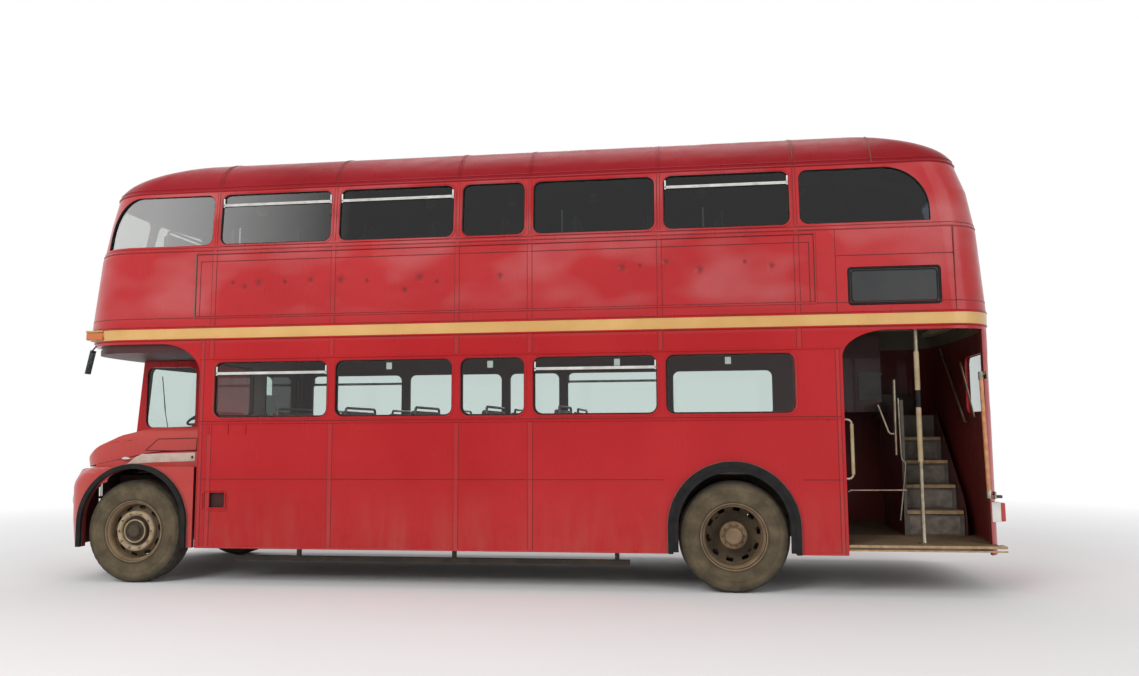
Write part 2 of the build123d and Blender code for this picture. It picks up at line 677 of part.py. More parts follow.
# Bonnet: its side view and the lower edge where it meets the wing, from the front axle
BONNET_SIDE_Y = SKIN_HALF - 210
BONNET_SKIN = 25
BONNET_TOP_Z = 1540
BONNET_EDGE_R = 140
BONNET_CORNER = 380
BONNET_DEEP_Z = 900  # the space under the bonnet is cleared down to here
BONNET_TOP = [
    (-869, 1140),
    (-869, 1213),
    (-756, 1311),
    (-537, 1408),
    (-285, 1475),
    (30, 1516),
    (650, 1536),
]
BONNET_EDGE = [(650, 1298), (181, 1283), (-20, 1262), (-341, 1201), (-583, 1155)]
BONNET_HINGE_Y = CAB_WALL_Y[0] - 10
BONNET_HINGE_Z = BONNET_TOP_Z + 4
BONNET_HINGE_X = (FRONT_AXLE_X - 20, FRONT_AXLE_X + 260, FRONT_AXLE_X + 520)
BONNET_LEAF_DEEP = 36


def bonnet_block(inset, side_y):
    """Solid under the bonnet's skin as far as side_y, round at the nearside front corner."""
    top = [(FRONT_AXLE_X + x, z - inset) for x, z in BONNET_TOP]
    if inset:
        top[0] = (top[0][0] + inset, BONNET_DEEP_Z)
        top[1] = (top[0][0], top[1][1])
        foot = [(top[-1][0], BONNET_DEEP_Z)]
    else:
        foot = [(FRONT_AXLE_X + x, z) for x, z in BONNET_EDGE]
    block = side_prism(make_face(Polyline(*top, *foot, close=True)), -BONNET_SIDE_Y + inset, side_y)
    plan = outline(
        0,
        FRONT_X + inset,
        REAR_X,
        BONNET_SIDE_Y - inset,
        NOSE_BOW - inset,
        BONNET_CORNER - inset,
        REAR_BOW,
        REAR_CORNER,
    )
    block &= upright(plan, BONNET_DEEP_Z, BONNET_TOP_Z)
    crown = rounded(-BONNET_SIDE_Y + inset, BONNET_SIDE_Y, 0, BONNET_TOP_Z - inset, BONNET_EDGE_R - inset)
    return within(block & end_prism(crown, FRONT_X, 0), FRONT_X, BULKHEAD_X - GAP)


def bonnet_hinges(way):
    """Barrel and leaf of each hinge: way 1 is the bonnet's half, -1 the cab's."""
    parts = []
    y = BONNET_HINGE_Y
    z = BONNET_HINGE_Z
    for middle in BONNET_HINGE_X:
        x0, x1 = sorted((middle + way, middle + way * KNUCKLE_W))
        if way > 0:
            leaf = box(x0, x1, y - 3 * LEAF_THICK, y, z - BONNET_LEAF_DEEP, z)
        else:
            leaf = box(x0, x1, y, CAB_WALL_Y[0] + 1, z - HINGE_R, z + HINGE_R)
        parts.append(leaf + rod((x0, y, z), (x1, y, z), HINGE_R))
    return parts


def make_bonnet_lid():
    lid = bonnet_block(0, CAB_WALL_Y[0] - GAP) - bonnet_block(BONNET_SKIN, SKIN_HALF)
    for part in bonnet_hinges(1):
        lid += part
    return lid


# Radiator panel, wing and grille
WING_REAR_X = BULKHEAD_X - 28
WING_TOP_THICK = 25
WING_START_X = FRONT_AXLE_X - 560
WING_UPSTAND = [(632, 1280), (181, 1272), (-20, 1250), (-341, 1190), (-560, 1148)]
PANEL_Y = (-660, CAB_WALL_Y[0])
GRILLE_Y = (-600, -60)
GRILLE_Z = (470, 1100)
GRILLE_R = 120
GRILLE_DEPTH = (8, 34)  # front and back of the grille, behind the skin
GRILLE_RIM = 30
GRILLE_BARS = 13
GRILLE_BAR_W = 14
GRILLE_BAND = 24


def make_front_panel():
    panel = within(NOSE_SHELL, FRONT_X, FRONT_X + NOSE_DEEP, *PANEL_Y, SKIRT_Z, NOSE_TOP_Z)
    return panel - end_prism(rounded(*GRILLE_Y, *GRILLE_Z, GRILLE_R), FRONT_X - PAST, FRONT_X + NOSE_DEEP)


def make_front_wing():
    base = NOSE_TOP_Z - WING_TOP_THICK
    wing = within(NOSE_SHELL, FRONT_X, WING_REAR_X, -SKIN_HALF, PANEL_Y[0], SKIRT_Z, NOSE_TOP_Z)
    wing += within(NOSE_OUT, FRONT_X, WING_REAR_X, -SKIN_HALF, -BONNET_SIDE_Y, base, NOSE_TOP_Z)
    crest = [(FRONT_AXLE_X + x, z) for x, z in WING_UPSTAND]
    web = Polyline((WING_START_X, base), (crest[0][0], base), *crest, close=True)
    wing += side_prism(make_face(web), -BONNET_SIDE_Y, -BONNET_SIDE_Y + BONNET_SKIN)
    return wing - side_prism(arch_hole(FRONT_AXLE_X, FRONT_ARCH_R), -REACH, -SKIN_HALF + SKIN_DEEP)


def make_grille():
    y0, y1 = GRILLE_Y
    z0, z1 = GRILLE_Z
    rim = GRILLE_RIM
    centre = Pos((y0 + y1) / 2, (z0 + z1) / 2)
    frame = rounded(y0, y1, z0, z1, GRILLE_R)
    frame -= rounded(y0 + rim, y1 - rim, z0 + rim, z1 - rim, GRILLE_R - rim)
    pitch = (y1 - y0 - 2 * rim) / GRILLE_BARS
    for i in range(1, GRILLE_BARS):
        y = y0 + rim + i * pitch
        frame += Pos(y, (z0 + z1) / 2) * Rectangle(GRILLE_BAR_W, z1 - z0 - 1.5 * rim)
    frame += centre * Rectangle(y1 - y0 - rim, GRILLE_BAND)
    shell = body_shell(NOSE_SECTIONS, *GRILLE_DEPTH, NOSE_BOW, NOSE_CORNER)
    return shell & end_prism(frame, FRONT_X - PAST, FRONT_X + NOSE_DEEP)


# Front axle: a low beam, a bracket and coil spring each side, and two arms on the king pin
AXLE_HALF_X = 60
ARM_HALF_X = 30
BEAM_Z = (300, 380)
BEAM_Y = (560, 600)
ARM_LOW_Z = (345, 385)
ARM_HIGH_Z = (615, 655)
BRACKET_TOP_Z = 920
SHELF = 20
COIL_Y = 720
COIL_R = 55
KINGPIN_R = 18
KNUCKLE_R = 45
PIN_CLEAR = 6
STUB_R = 38
STUB_LONG = 130
BACKPLATE_R = 200
BACKPLATE_Y = (48, 60)  # from the king pin
HUB_CLEAR = 7


def make_front_axle():
    x = FRONT_AXLE_X
    bracket_y, beam_end = BEAM_Y
    axle = box(x - AXLE_HALF_X, x + AXLE_HALF_X, -beam_end, beam_end, *BEAM_Z)
    for way in (-1, 1):
        y0 = way * bracket_y
        axle += box(x - AXLE_HALF_X, x + AXLE_HALF_X, y0, way * beam_end, BEAM_Z[0], BRACKET_TOP_Z)
        for z0, z1 in (ARM_LOW_Z, ARM_HIGH_Z):
            axle += box(x - ARM_HALF_X, x + ARM_HALF_X, y0, way * (KINGPIN_Y + SHELF), z0, z1)
        pin_y = way * KINGPIN_Y
        axle += rod((x, pin_y, ARM_LOW_Z[0]), (x, pin_y, ARM_HIGH_Z[1]), KINGPIN_R)
        coil_y = way * COIL_Y
        shelf_z = BRACKET_TOP_Z - SHELF
        axle += rod((x, coil_y, ARM_HIGH_Z[1] - 5), (x, coil_y, shelf_z + 5), COIL_R)
        shelf_end = way * (COIL_Y + COIL_R + 10)
        axle += box(x - AXLE_HALF_X, x + AXLE_HALF_X, y0, shelf_end, shelf_z, BRACKET_TOP_Z)
    return axle


def make_knuckle(way):
    x = FRONT_AXLE_X
    y = way * KINGPIN_Y
    plate0, plate1 = BACKPLATE_Y
    body = rod((x, y, ARM_LOW_Z[1] + PIN_CLEAR), (x, y, ARM_HIGH_Z[0] - PIN_CLEAR), KNUCKLE_R)
    body += cross_rod(x, HUB_Z, y, y + way * STUB_LONG, STUB_R)
    body += cross_rod(x, HUB_Z, y + way * plate0, y + way * plate1, BACKPLATE_R)
    return body - rod((x, y, 0), (x, y, 2 * HUB_Z), KINGPIN_R + PIN_CLEAR)


def spun(points, x, way):
    """A ring about the axle through x, from a profile of (distance out, radius)."""
    profile = make_face(Polyline(*[(way * y, HUB_Z + r) for y, r in points], close=True))
    plane = Plane(origin=(x, 0, 0), x_dir=(0, 1, 0), z_dir=(1, 0, 0))
    return revolve(plane * profile, Axis((x, 0, HUB_Z), (0, 1, 0)))


# Tyre section: how far each corner is in from the tyre's face, and its radius
BEAD_IN = 22
WALL_RISE = 95
SHOULDER_IN = (14, 44)
SHOULDER_DROP = 30


def tyre(x, way, y_middle, width):
    half = [
        (BEAD_IN, RIM_R),
        (0, RIM_R + WALL_RISE),
        (SHOULDER_IN[0], TYRE_R - SHOULDER_DROP),
        (SHOULDER_IN[1], TYRE_R),
    ]
    inner = y_middle - width / 2
    outer = y_middle + width / 2
    section = [(inner + deep, r) for deep, r in half] + [(outer - deep, r) for deep, r in reversed(half)]
    return spun(section, x, way)


RIM_IN = 10  # the rim's edge is this far inside the tyre's face


def rim_barrel(x, way, y_middle, width):
    inner = y_middle - width / 2 + RIM_IN
    outer = y_middle + width / 2 - RIM_IN
    section = [
        (inner, RIM_INNER_R + RIM_THICK),
        (inner, RIM_INNER_R),
        (outer, RIM_INNER_R),
        (outer, RIM_INNER_R + RIM_THICK),
    ]
    return spun(section, x, way)


SLOTS = 8
SLOT_RING_R = 215
SLOT_SIZE = (84, 40)
DISC_THICK = 14
FRONT_HUB_R = 95


def wheel_slots(x, y0, y1):
    holes = []
    for i in range(SLOTS):
        hole = side_prism(Pos(0, SLOT_RING_R) * SlotOverall(*SLOT_SIZE), y0, y1)
        holes.append(Pos(x, 0, HUB_Z) * Rot(0, 360 / SLOTS * i, 0) * hole)
    return holes


def make_front_rim(way):
    x = FRONT_AXLE_X
    y = FRONT_TRACK_HALF
    face = y + 96
    disc = [
        (y + 20, RIM_INNER_R),
        (y + 34, RIM_INNER_R),
        (y + 66, 150),
        (face, 125),
        (face, 0),
        (face - DISC_THICK, 0),
        (face - DISC_THICK, 118),
        (y + 52, 142),
    ]
    hub = [
        (y - 20, STUB_R + HUB_CLEAR),
        (y - 20, FRONT_HUB_R),
        (face, FRONT_HUB_R),
        (y + 140, 62),
        (y + 140, 0),
        (y + 60, 0),
        (y + 60, STUB_R + HUB_CLEAR),
    ]
    rim = rim_barrel(x, way, y, TYRE_W) + spun(disc, x, way) + spun(hub, x, way)
    for hole in wheel_slots(x, way * y, way * (y + PAST)):
        rim -= hole
    return rim


# Rear hubs: a drum, a flange with its ring of studs, and the half shaft's cap
AXLE_R = 70
DRUM_R = 200
FLANGE_R = 125
CAP_R = 77
STUDS = 10
STUD_R = 10
STUD_RING_R = 109
STUD_LONG = 30
DISH = 40  # how far each disc leans from the joint between the twins


def make_rear_rim(way):
    x = REAR_AXLE_X
    y = (TWIN_OUTER_Y + TWIN_INNER_Y) / 2
    rim = rim_barrel(x, way, TWIN_OUTER_Y, TWIN_W) + rim_barrel(x, way, TWIN_INNER_Y, TWIN_W)
    for root, lean in ((y, DISH), (y - DISC_THICK, -DISH)):
        disc = [
            (root + lean, RIM_INNER_R),
            (root + lean + DISC_THICK, RIM_INNER_R),
            (root + DISC_THICK, 160),
            (root + DISC_THICK, FLANGE_R),
            (root, FLANGE_R),
            (root, 160),
        ]
        ring = spun(disc, x, way)
        for hole in wheel_slots(x, way * (root - PAST), way * (root + PAST)):
            ring -= hole
        rim += ring
    face = y + 150
    hub = [
        (y - 250, AXLE_R + HUB_CLEAR),
        (y - 250, DRUM_R),
        (y - 60, DRUM_R),
        (y - 60, FLANGE_R),
        (face, FLANGE_R),
        (face, STUD_RING_R - 17),
        (face + 40, CAP_R),
        (face + 80, CAP_R),
        (face + 80, 0),
        (face - 40, 0),
        (face - 40, AXLE_R + HUB_CLEAR),
    ]
    rim += spun(hub, x, way)
    for i in range(STUDS):
        turn = 2 * pi * (i + 0.5) / STUDS
        stud_x = x + STUD_RING_R * sin(turn)
        stud_z = HUB_Z + STUD_RING_R * cos(turn)
        rim += cross_rod(stud_x, stud_z, way * (face - 20), way * (face + STUD_LONG), STUD_R)
    return rim


# Rear axle: a tube, a round casing, and a radius arm with an air spring each side
CASING_R = 145
ARM_X = (-900, 620)  # from the axle
ARM_Y = (480, 545)
ARM_DEEP = 60
AIR_SPRING_X = 560
AIR_SPRING_R = 50


def make_rear_axle():
    x = REAR_AXLE_X
    reach = (TWIN_OUTER_Y + TWIN_INNER_Y) / 2 + 100
    axle = cross_rod(x, HUB_Z, -reach, reach, AXLE_R)
    axle += Pos(x, 0, HUB_Z) * Sphere(CASING_R)
    spring_x = x + AIR_SPRING_X
    for way in (-1, 1):
        axle += box(x + ARM_X[0], x + ARM_X[1], way * ARM_Y[0], way * ARM_Y[1], HUB_Z - ARM_DEEP, HUB_Z)
        y = way * (ARM_Y[0] + ARM_Y[1]) / 2
        axle += rod((spring_x, y, HUB_Z - 5), (spring_x, y, FLOOR_BASE_Z), AIR_SPRING_R)
    return axle


# Engine, radiator, gearbox and shafts
ENGINE_X = (FRONT_AXLE_X - 600, FRONT_AXLE_X + 600)
ENGINE_Y = (-500, 40)
ENGINE_Z = (430, CAB_FLOOR_Z - CAB_BOARD - 10)
RADIATOR_X = (FRONT_X + 120, FRONT_X + 190)
RADIATOR_IN = 20  # the radiator is this much smaller than the grille all round
SHAFT_R = 45
SHAFT_Y = -225
SHAFT_Z = HUB_Z
FAN_HALF = 60
FAN_Z = (700, 820)
GEARBOX_X = (FRONT_AXLE_X + 2500, FRONT_AXLE_X + 3050)
GEARBOX_HALF = 190
GEARBOX_BASE_Z = 380
RAIL_Y = (560, 640)
RAIL_Z = (480, 600)


def make_engine():
    engine = box(*ENGINE_X, *ENGINE_Y, *ENGINE_Z)
    y0, y1 = GRILLE_Y
    z0, z1 = GRILLE_Z
    engine += box(*RADIATOR_X, y0 + RADIATOR_IN, y1 - RADIATOR_IN, z0 + RADIATOR_IN / 2, z1 - RADIATOR_IN / 2)
    engine += box(RADIATOR_X[1], ENGINE_X[0], SHAFT_Y - FAN_HALF, SHAFT_Y + FAN_HALF, *FAN_Z)
    engine += rod((ENGINE_X[1], SHAFT_Y, SHAFT_Z), (GEARBOX_X[0], SHAFT_Y, SHAFT_Z), SHAFT_R)
    gearbox_y = (SHAFT_Y - GEARBOX_HALF, SHAFT_Y + GEARBOX_HALF)
    engine += box(*GEARBOX_X, *gearbox_y, GEARBOX_BASE_Z, RAIL_Z[1] - 5)
    rear_end = (REAR_AXLE_X - CASING_R - 85, -40, SHAFT_Z)
    return engine + rod((GEARBOX_X[1], SHAFT_Y, SHAFT_Z), rear_end, SHAFT_R)


# Underframe: floor bearers on two rails, with a guard rail low down on each side
BEARERS = 6
BEARER_W = 80
BEARER_END = 120  # from the first bearer to the end of the rails
GUARD_Y = (880, 920)
GUARD_Z = (200, 250)
GUARD_HANGERS = (1, 3, 5)  # which bearers carry a guard rail
HANGER_W = 40
FRONT_RAIL_Y = ((-555, -515), (60, 120))
FRONT_RAIL_TOP_Z = 500
FRONT_MEMBER_X = (FRONT_X + 200, FRONT_X + 260)
FRONT_MEMBER_TOP_Z = 450
JOIN_X = (BULKHEAD_X - 60, BULKHEAD_X)
JOIN_Z = 560

# Towing eyes: two plates with a hole, hung from the front member below the front panel
TOW_EYE_X = FRONT_X + 115
TOW_EYE_Y = 300
TOW_EYE_Z = (SKIRT_Z - 35, SKIRT_Z - 7)
TOW_EYE_R = 22
TOW_EYE_HALF = 55


def towing_eye(y):
    plan = plan_part(TOW_EYE_X, FRONT_MEMBER_X[1], y - TOW_EYE_HALF, y + TOW_EYE_HALF)
    plan += Pos(TOW_EYE_X, y) * Circle(TOW_EYE_HALF)
    plan -= Pos(TOW_EYE_X, y) * Circle(TOW_EYE_R)
    z0, z1 = TOW_EYE_Z
    hanger = box(*FRONT_MEMBER_X, y - TOW_EYE_HALF, y + TOW_EYE_HALF, z0, BEAM_Z[1] + 5)
    return upright(plan, z0, z1) + hanger


def make_underframe():
    x0 = BULKHEAD_X + WALL
    x1 = REAR_AXLE_X + ARM_X[0] - 60
    pitch = (x1 - x0 - 2 * BEARER_END) / (BEARERS - 1)
    bearer_x = [x0 + BEARER_END + i * pitch for i in range(BEARERS)]
    rear = []
    for way in (-1, 1):
        rear.append(box(x0, x1, way * RAIL_Y[0], way * RAIL_Y[1], *RAIL_Z))
        rear.append(box(bearer_x[0] + BEARER_END, x1, way * GUARD_Y[0], way * GUARD_Y[1], *GUARD_Z))
        for i in GUARD_HANGERS:
            x = bearer_x[i]
            y0 = way * (GUARD_Y[0] + 5)
            y1 = way * (GUARD_Y[1] - 5)
            rear.append(box(x - HANGER_W / 2, x + HANGER_W / 2, y0, y1, GUARD_Z[1], RAIL_Z[1]))
    frame = box(bearer_x[0], bearer_x[0] + BEARER_W, -INNER_HALF, INNER_HALF, RAIL_Z[1], FLOOR_BASE_Z)
    for x in bearer_x[1:]:
        frame += box(x - BEARER_W / 2, x + BEARER_W / 2, -INNER_HALF, INNER_HALF, RAIL_Z[1], FLOOR_BASE_Z)
    for part in rear:
        frame += part
    low = FRONT_RAIL_Y[0][0]
    front = box(*FRONT_MEMBER_X, low, -low, BEAM_Z[1], FRONT_MEMBER_TOP_Z)
    front += box(*JOIN_X, -RAIL_Y[1], RAIL_Y[1], JOIN_Z, RAIL_Z[1])
    for way in (-1, 1):
        front += towing_eye(way * TOW_EYE_Y)
    for y0, y1 in FRONT_RAIL_Y:
        front += box(FRONT_MEMBER_X[0], BULKHEAD_X, y0, y1, BEAM_Z[1], FRONT_RAIL_TOP_Z)
        front += box(*JOIN_X, y0, y1, FRONT_RAIL_TOP_Z, RAIL_Z[1])
    return [frame, front]


# Seats: cushions and backs as plain solids
SEAT_W = 860
SEAT_D = 410
CUSHION = 110
SEAT_RISE = 340
BACK_TALL = 560
BACK_THICK = 70
SEAT_PITCH = 700
LEG_W = 30
LEG_X = (-330, -80)  # from the back's rear face
LEG_IN = 60  # from the aisle edge
LOWER_SEAT_Y = INNER_HALF - 10
UPPER_SEAT_Y = INNER_HALF - 50
LOWER_FIRST_X = BULKHEAD_X + WALL + 760
LOWER_ROWS = 5
UPPER_FIRST_X = FRONT_X + 1080
UPPER_ROWS_NEAR = 10
UPPER_ROWS_OFF = 8
BENCH_D = 480
BENCH_BACK = 340
BENCH_PANEL = 40
DRIVER_Y = (330, 800)
DRIVER_X = BULKHEAD_X - 130
DRIVER_D = 460
DRIVER_RISE = 250
DRIVER_CUSHION = 100
DRIVER_BACK = 500
PEDESTAL = (-360, -120, 430, 700)  # X from the back's rear face, and Y


def double_seat(x, y_wall, floor):
    """A bench for two: x is its back's rear face, y_wall the side it stands against."""
    way = 1 if y_wall > 0 else -1
    y_aisle = y_wall - way * SEAT_W
    base = floor + SEAT_RISE
    seat = box(x - SEAT_D - BACK_THICK, x, y_aisle, y_wall, base, base + CUSHION)
    seat += box(x - BACK_THICK, x, y_aisle, y_wall, base, base + CUSHION + BACK_TALL)
    leg_y = y_aisle + way * LEG_IN
    return seat + box(x + LEG_X[0], x + LEG_X[1], leg_y, leg_y + way * LEG_W, floor, base)


def seat_rows(first_x, count, y_wall, floor):
    return [double_seat(first_x + i * SEAT_PITCH, y_wall, floor) for i in range(count)]


def long_bench(way):
    """Seat that faces inwards over the wheel box, with its back along the side."""
    x0 = REAR_AXLE_X - WHEEL_BOX_HALF - 2 * SHEET
    x1 = PLATFORM_X - 30
    wall = way * LOWER_SEAT_Y
    top = WHEEL_BOX_TOP_Z + CUSHION
    bench = box(x0, x1, wall, wall - way * BENCH_D, WHEEL_BOX_TOP_Z, top)
    bench += box(x0, x1, wall, wall - way * BACK_THICK, WHEEL_BOX_TOP_Z, top + BENCH_BACK)
    front_y = wall - way * BENCH_D
    panel_x = REAR_AXLE_X + WHEEL_BOX_HALF + SHEET + 10
    return bench + box(panel_x, x1, front_y, front_y + way * BENCH_PANEL, FLOOR_Z, WHEEL_BOX_TOP_Z)


def driver_seat():
    base = CAB_FLOOR_Z + DRIVER_RISE
    seat = box(DRIVER_X - DRIVER_D, DRIVER_X, *DRIVER_Y, base, base + DRIVER_CUSHION)
    seat += box(DRIVER_X - BACK_THICK, DRIVER_X, *DRIVER_Y, base, base + DRIVER_CUSHION + DRIVER_BACK)
    x0, x1, y0, y1 = PEDESTAL
    return seat + box(DRIVER_X + x0, DRIVER_X + x1, y0, y1, CAB_FLOOR_Z, base)


def make_lower_seats():
    seats = [driver_seat()]
    for way in (-1, 1):
        seats += seat_rows(LOWER_FIRST_X, LOWER_ROWS, way * LOWER_SEAT_Y, FLOOR_Z)
        seats.append(long_bench(way))
    return seats


def make_upper_seats():
    near = seat_rows(UPPER_FIRST_X, UPPER_ROWS_NEAR, -UPPER_SEAT_Y, UPPER_FLOOR_Z)
    return near + seat_rows(UPPER_FIRST_X, UPPER_ROWS_OFF, UPPER_SEAT_Y, UPPER_FLOOR_Z)


STEER_WHEEL_R = 235
STEER_RIM_R = 14
STEER_RAKE = 25  # degrees from level
STEER_CENTRE = (FRONT_X + 640, 560, 1660)
STEER_SPOKE = (26, 10)
STEER_BOSS = (42, 40)


def make_steering_wheel():
    wheel = Torus(STEER_WHEEL_R, STEER_RIM_R)
    for turn in (0, 120, 240):
        spoke = Pos(STEER_WHEEL_R / 2, 0, 0) * Box(STEER_WHEEL_R, *STEER_SPOKE)
        wheel += Rot(0, 0, turn) * spoke
    wheel += Pos(0, 0, -STEER_SPOKE[1]) * Cylinder(*STEER_BOSS)
    return Pos(*STEER_CENTRE) * Rot(0, -STEER_RAKE, 0) * wheel


# Lamps: two on each side of the nose, an indicator on each front corner, two at the rear
HEADLAMP_Y = SKIN_HALF - 355
HEADLAMP_Z = 800
HEADLAMP_R = 118
SIDELAMP_Z = 1005
SIDELAMP_R = 42
NOSE_LAMP_OUT = 30  # the lamps start this far behind the front of the bus
INDICATOR_X = (FRONT_AXLE_X - 658, FRONT_AXLE_X - 525)
INDICATOR_Y = SKIN_HALF - 165
INDICATOR_Z = 2455
INDICATOR_R = 62
REAR_LAMP_Y = SKIN_HALF - 175
REAR_LAMP_Z = 730
REAR_LAMP_R = 45
REAR_LAMP_X = (REAR_X - 200, REAR_X - 30)


def nose_lamp(y, z, radius):
    return rod((FRONT_X + NOSE_LAMP_OUT, y, z), (FRONT_X + SKIN_DEEP, y, z), radius) - NOSE_OUT


def indicator(y):
    x0, x1 = INDICATOR_X
    lamp = rod((x0, y, INDICATOR_Z), (x1, y, INDICATOR_Z), INDICATOR_R)
    lamp += Pos(x0, y, INDICATOR_Z) * Sphere(INDICATOR_R)
    return lamp - UPPER_OUT


def make_lamps():
    lamps = []
    lower_body = upright(lower_plan(0), SKIRT_Z, DECK_BASE_Z)
    for way in (-1, 1):
        lamps.append(nose_lamp(way * HEADLAMP_Y, HEADLAMP_Z, HEADLAMP_R))
        lamps.append(nose_lamp(way * HEADLAMP_Y, SIDELAMP_Z, SIDELAMP_R))
        lamps.append(indicator(way * INDICATOR_Y))
        y = way * REAR_LAMP_Y
        x0, x1 = REAR_LAMP_X
        lamps.append(rod((x0, y, REAR_LAMP_Z), (x1, y, REAR_LAMP_Z), REAR_LAMP_R) - lower_body)
    return lamps


# Mirrors: one hangs from the nearside corner of the deck, one stands off the cab
ARM_R = 9
MIRROR_THICK = 26
NEAR_MIRROR_X = FRONT_AXLE_X - 560
NEAR_MIRROR_Y = (SKIN_HALF - 135, SKIN_HALF + 15)
NEAR_MIRROR_Z = (2060, 2330)
NEAR_ARM_Y = SKIN_HALF - 177
NEAR_ARM_Z = 2200
OFF_MIRROR_X = FRONT_X + 330
OFF_MIRROR_Y = (SKIN_HALF - 55, SKIN_HALF + 25)
OFF_MIRROR_Z = (1750, 2000)
OFF_ARM_Z = 1950


def make_mirrors():
    x = NEAR_MIRROR_X
    y0, y1 = NEAR_MIRROR_Y
    near = box(x - MIRROR_THICK / 2, x + MIRROR_THICK / 2, -y1, -y0, *NEAR_MIRROR_Z)
    near += rod((x, -NEAR_ARM_Y, NEAR_ARM_Z), (x, -NEAR_ARM_Y, DECK_BASE_Z), ARM_R)
    near += cross_rod(x, NEAR_ARM_Z, -NEAR_ARM_Y, -y0 - 10, ARM_R)
    x = OFF_MIRROR_X
    y0, y1 = OFF_MIRROR_Y
    off = box(x - MIRROR_THICK / 2, x + MIRROR_THICK / 2, y0, y1, *OFF_MIRROR_Z)
    off += cross_rod(x, OFF_ARM_Z, y0 - PAST, y0 + 10, ARM_R)
    return [near, off - NOSE_OUT]


# Rails: the pole on the platform, two hand rails beside it and two along the ceiling
POLE_R = 18
POLE_X = STAIR_X[0]
POLE_Y = -SKIN_HALF + 155
POST_RAIL_X = REAR_POST_X - 60
POST_RAIL_LEAN = 25
POST_RAIL_Z = (900, 1950)
GRAB_RAIL_X = PLATFORM_X + 45
GRAB_RAIL_Y = -SKIN_HALF + 25
GRAB_RAIL_Z = (1050, 1550)
RAIL_R = 15
RAIL_FOOT_R = 10
RAIL_END = 25  # from a rail's end to its bracket
CEILING_RAIL_Y = 330
CEILING_RAIL_DROP = 90
HANGERS = 5
HANGER_FIRST = 600
HANGER_PITCH = 1200


def post_rail():
    z0, z1 = POST_RAIL_Z
    x0 = POST_RAIL_X + POST_RAIL_LEAN
    rail = rod((x0, POLE_Y, z0), (POST_RAIL_X, POLE_Y, z1), RAIL_R)
    for z in (z0 + RAIL_END, z1 - RAIL_END):
        rail += rod((POST_RAIL_X + RAIL_FOOT_R, POLE_Y, z), (REAR_POST_X, POLE_Y, z), RAIL_FOOT_R)
    return rail


def grab_rail():
    z0, z1 = GRAB_RAIL_Z
    rail = rod((GRAB_RAIL_X, GRAB_RAIL_Y, z0), (GRAB_RAIL_X, GRAB_RAIL_Y, z1), RAIL_R)
    for z in (z0 + RAIL_END, z1 - RAIL_END):
        rail += rod((PLATFORM_X, GRAB_RAIL_Y, z), (GRAB_RAIL_X, GRAB_RAIL_Y, z), RAIL_FOOT_R)
    return rail


def ceiling_rail(y):
    z = CEILING_Z - CEILING_RAIL_DROP
    rail = rod((BULKHEAD_X + WALL, y, z), (PLATFORM_X, y, z), RAIL_R)
    for i in range(HANGERS):
        x = BULKHEAD_X + HANGER_FIRST + i * HANGER_PITCH
        rail += rod((x, y, z), (x, y, CEILING_Z), RAIL_FOOT_R)
    return rail


def make_handrails():
    pole = rod((POLE_X, POLE_Y, PLATFORM_Z), (POLE_X, POLE_Y, CEILING_Z), POLE_R)
    rails = [ceiling_rail(way * CEILING_RAIL_Y) for way in (-1, 1)]
    return [pole, post_rail(), grab_rail(), *rails]


def arch_rubber(x, radius, y0, y1):
    ring = arch_hole(x, radius + RUBBER_W) - arch_hole(x, radius)
    ring -= Pos(x, SKIRT_Z - radius) * Rectangle(4 * radius, 2 * radius)
    return side_prism(ring, y0, y1)


def make_arch_rubbers():
    rubbers = []
    for y0, y1 in both(SKIN_HALF, OVERALL_HALF):
        rubbers.append(arch_rubber(FRONT_AXLE_X, FRONT_ARCH_R, y0, y1))
        rubbers.append(arch_rubber(REAR_AXLE_X, REAR_ARCH_R, y0, y1))
    return rubbers


def make_wheels():
    nodes = {}
    for end, way in (("left", -1), ("right", 1)):
        nodes[f"knuckle_{end}"] = make_knuckle(way)
        nodes[f"front_{end}_tyre"] = tyre(FRONT_AXLE_X, way, FRONT_TRACK_HALF, TYRE_W)
        nodes[f"front_{end}_rim"] = make_front_rim(way)
        nodes[f"rear_{end}_tyres"] = [tyre(REAR_AXLE_X, way, y, TWIN_W) for y in (TWIN_OUTER_Y, TWIN_INNER_Y)]
        nodes[f"rear_{end}_rims"] = make_rear_rim(way)
    return nodes


def make_all():
    nodes = dict(
        underframe=make_underframe(),
        engine_and_driveline=make_engine(),
        front_axle=make_front_axle(),
        rear_axle=make_rear_axle(),
        lower_floor=make_lower_floor(),
        platform=make_platform(),
        staircase=make_staircase(),
        front_bulkhead=make_front_bulkhead(),
        lower_rear=make_lower_rear(),
        cab_shell=make_cab(),
        cab_door=make_cab_door(),
        front_panel=make_front_panel(),
        grille=make_grille(),
        bonnet_lid=make_bonnet_lid(),
        front_wing=make_front_wing(),
        upper_floor=make_upper_floor(),
        lower_glass=make_lower_glass(),
        upper_glass=make_upper_glass(),
        lower_seats=make_lower_seats(),
        upper_seats=make_upper_seats(),
        steering_wheel=make_steering_wheel(),
        lamps=make_lamps(),
        mirrors=make_mirrors(),
        handrails=make_handrails(),
        arch_rubbers=make_arch_rubbers(),
    )
    nodes.update(make_lower_sides())
    nodes.update(make_upper_body())
    nodes.update(make_roof())
    nodes.update(make_wheels())
    return nodes


os.makedirs("parts", exist_ok=True)
for name, shape in make_all().items():
    pieces = shape if isinstance(shape, list) else [shape]
    solids = [solid for piece in pieces for solid in piece.solids()]
    whole = Compound(children=solids) if len(solids) > 1 else solids[0]
    whole.label = name
    export_step(whole, f"parts/{name}.step")
    print(name, len(solids))
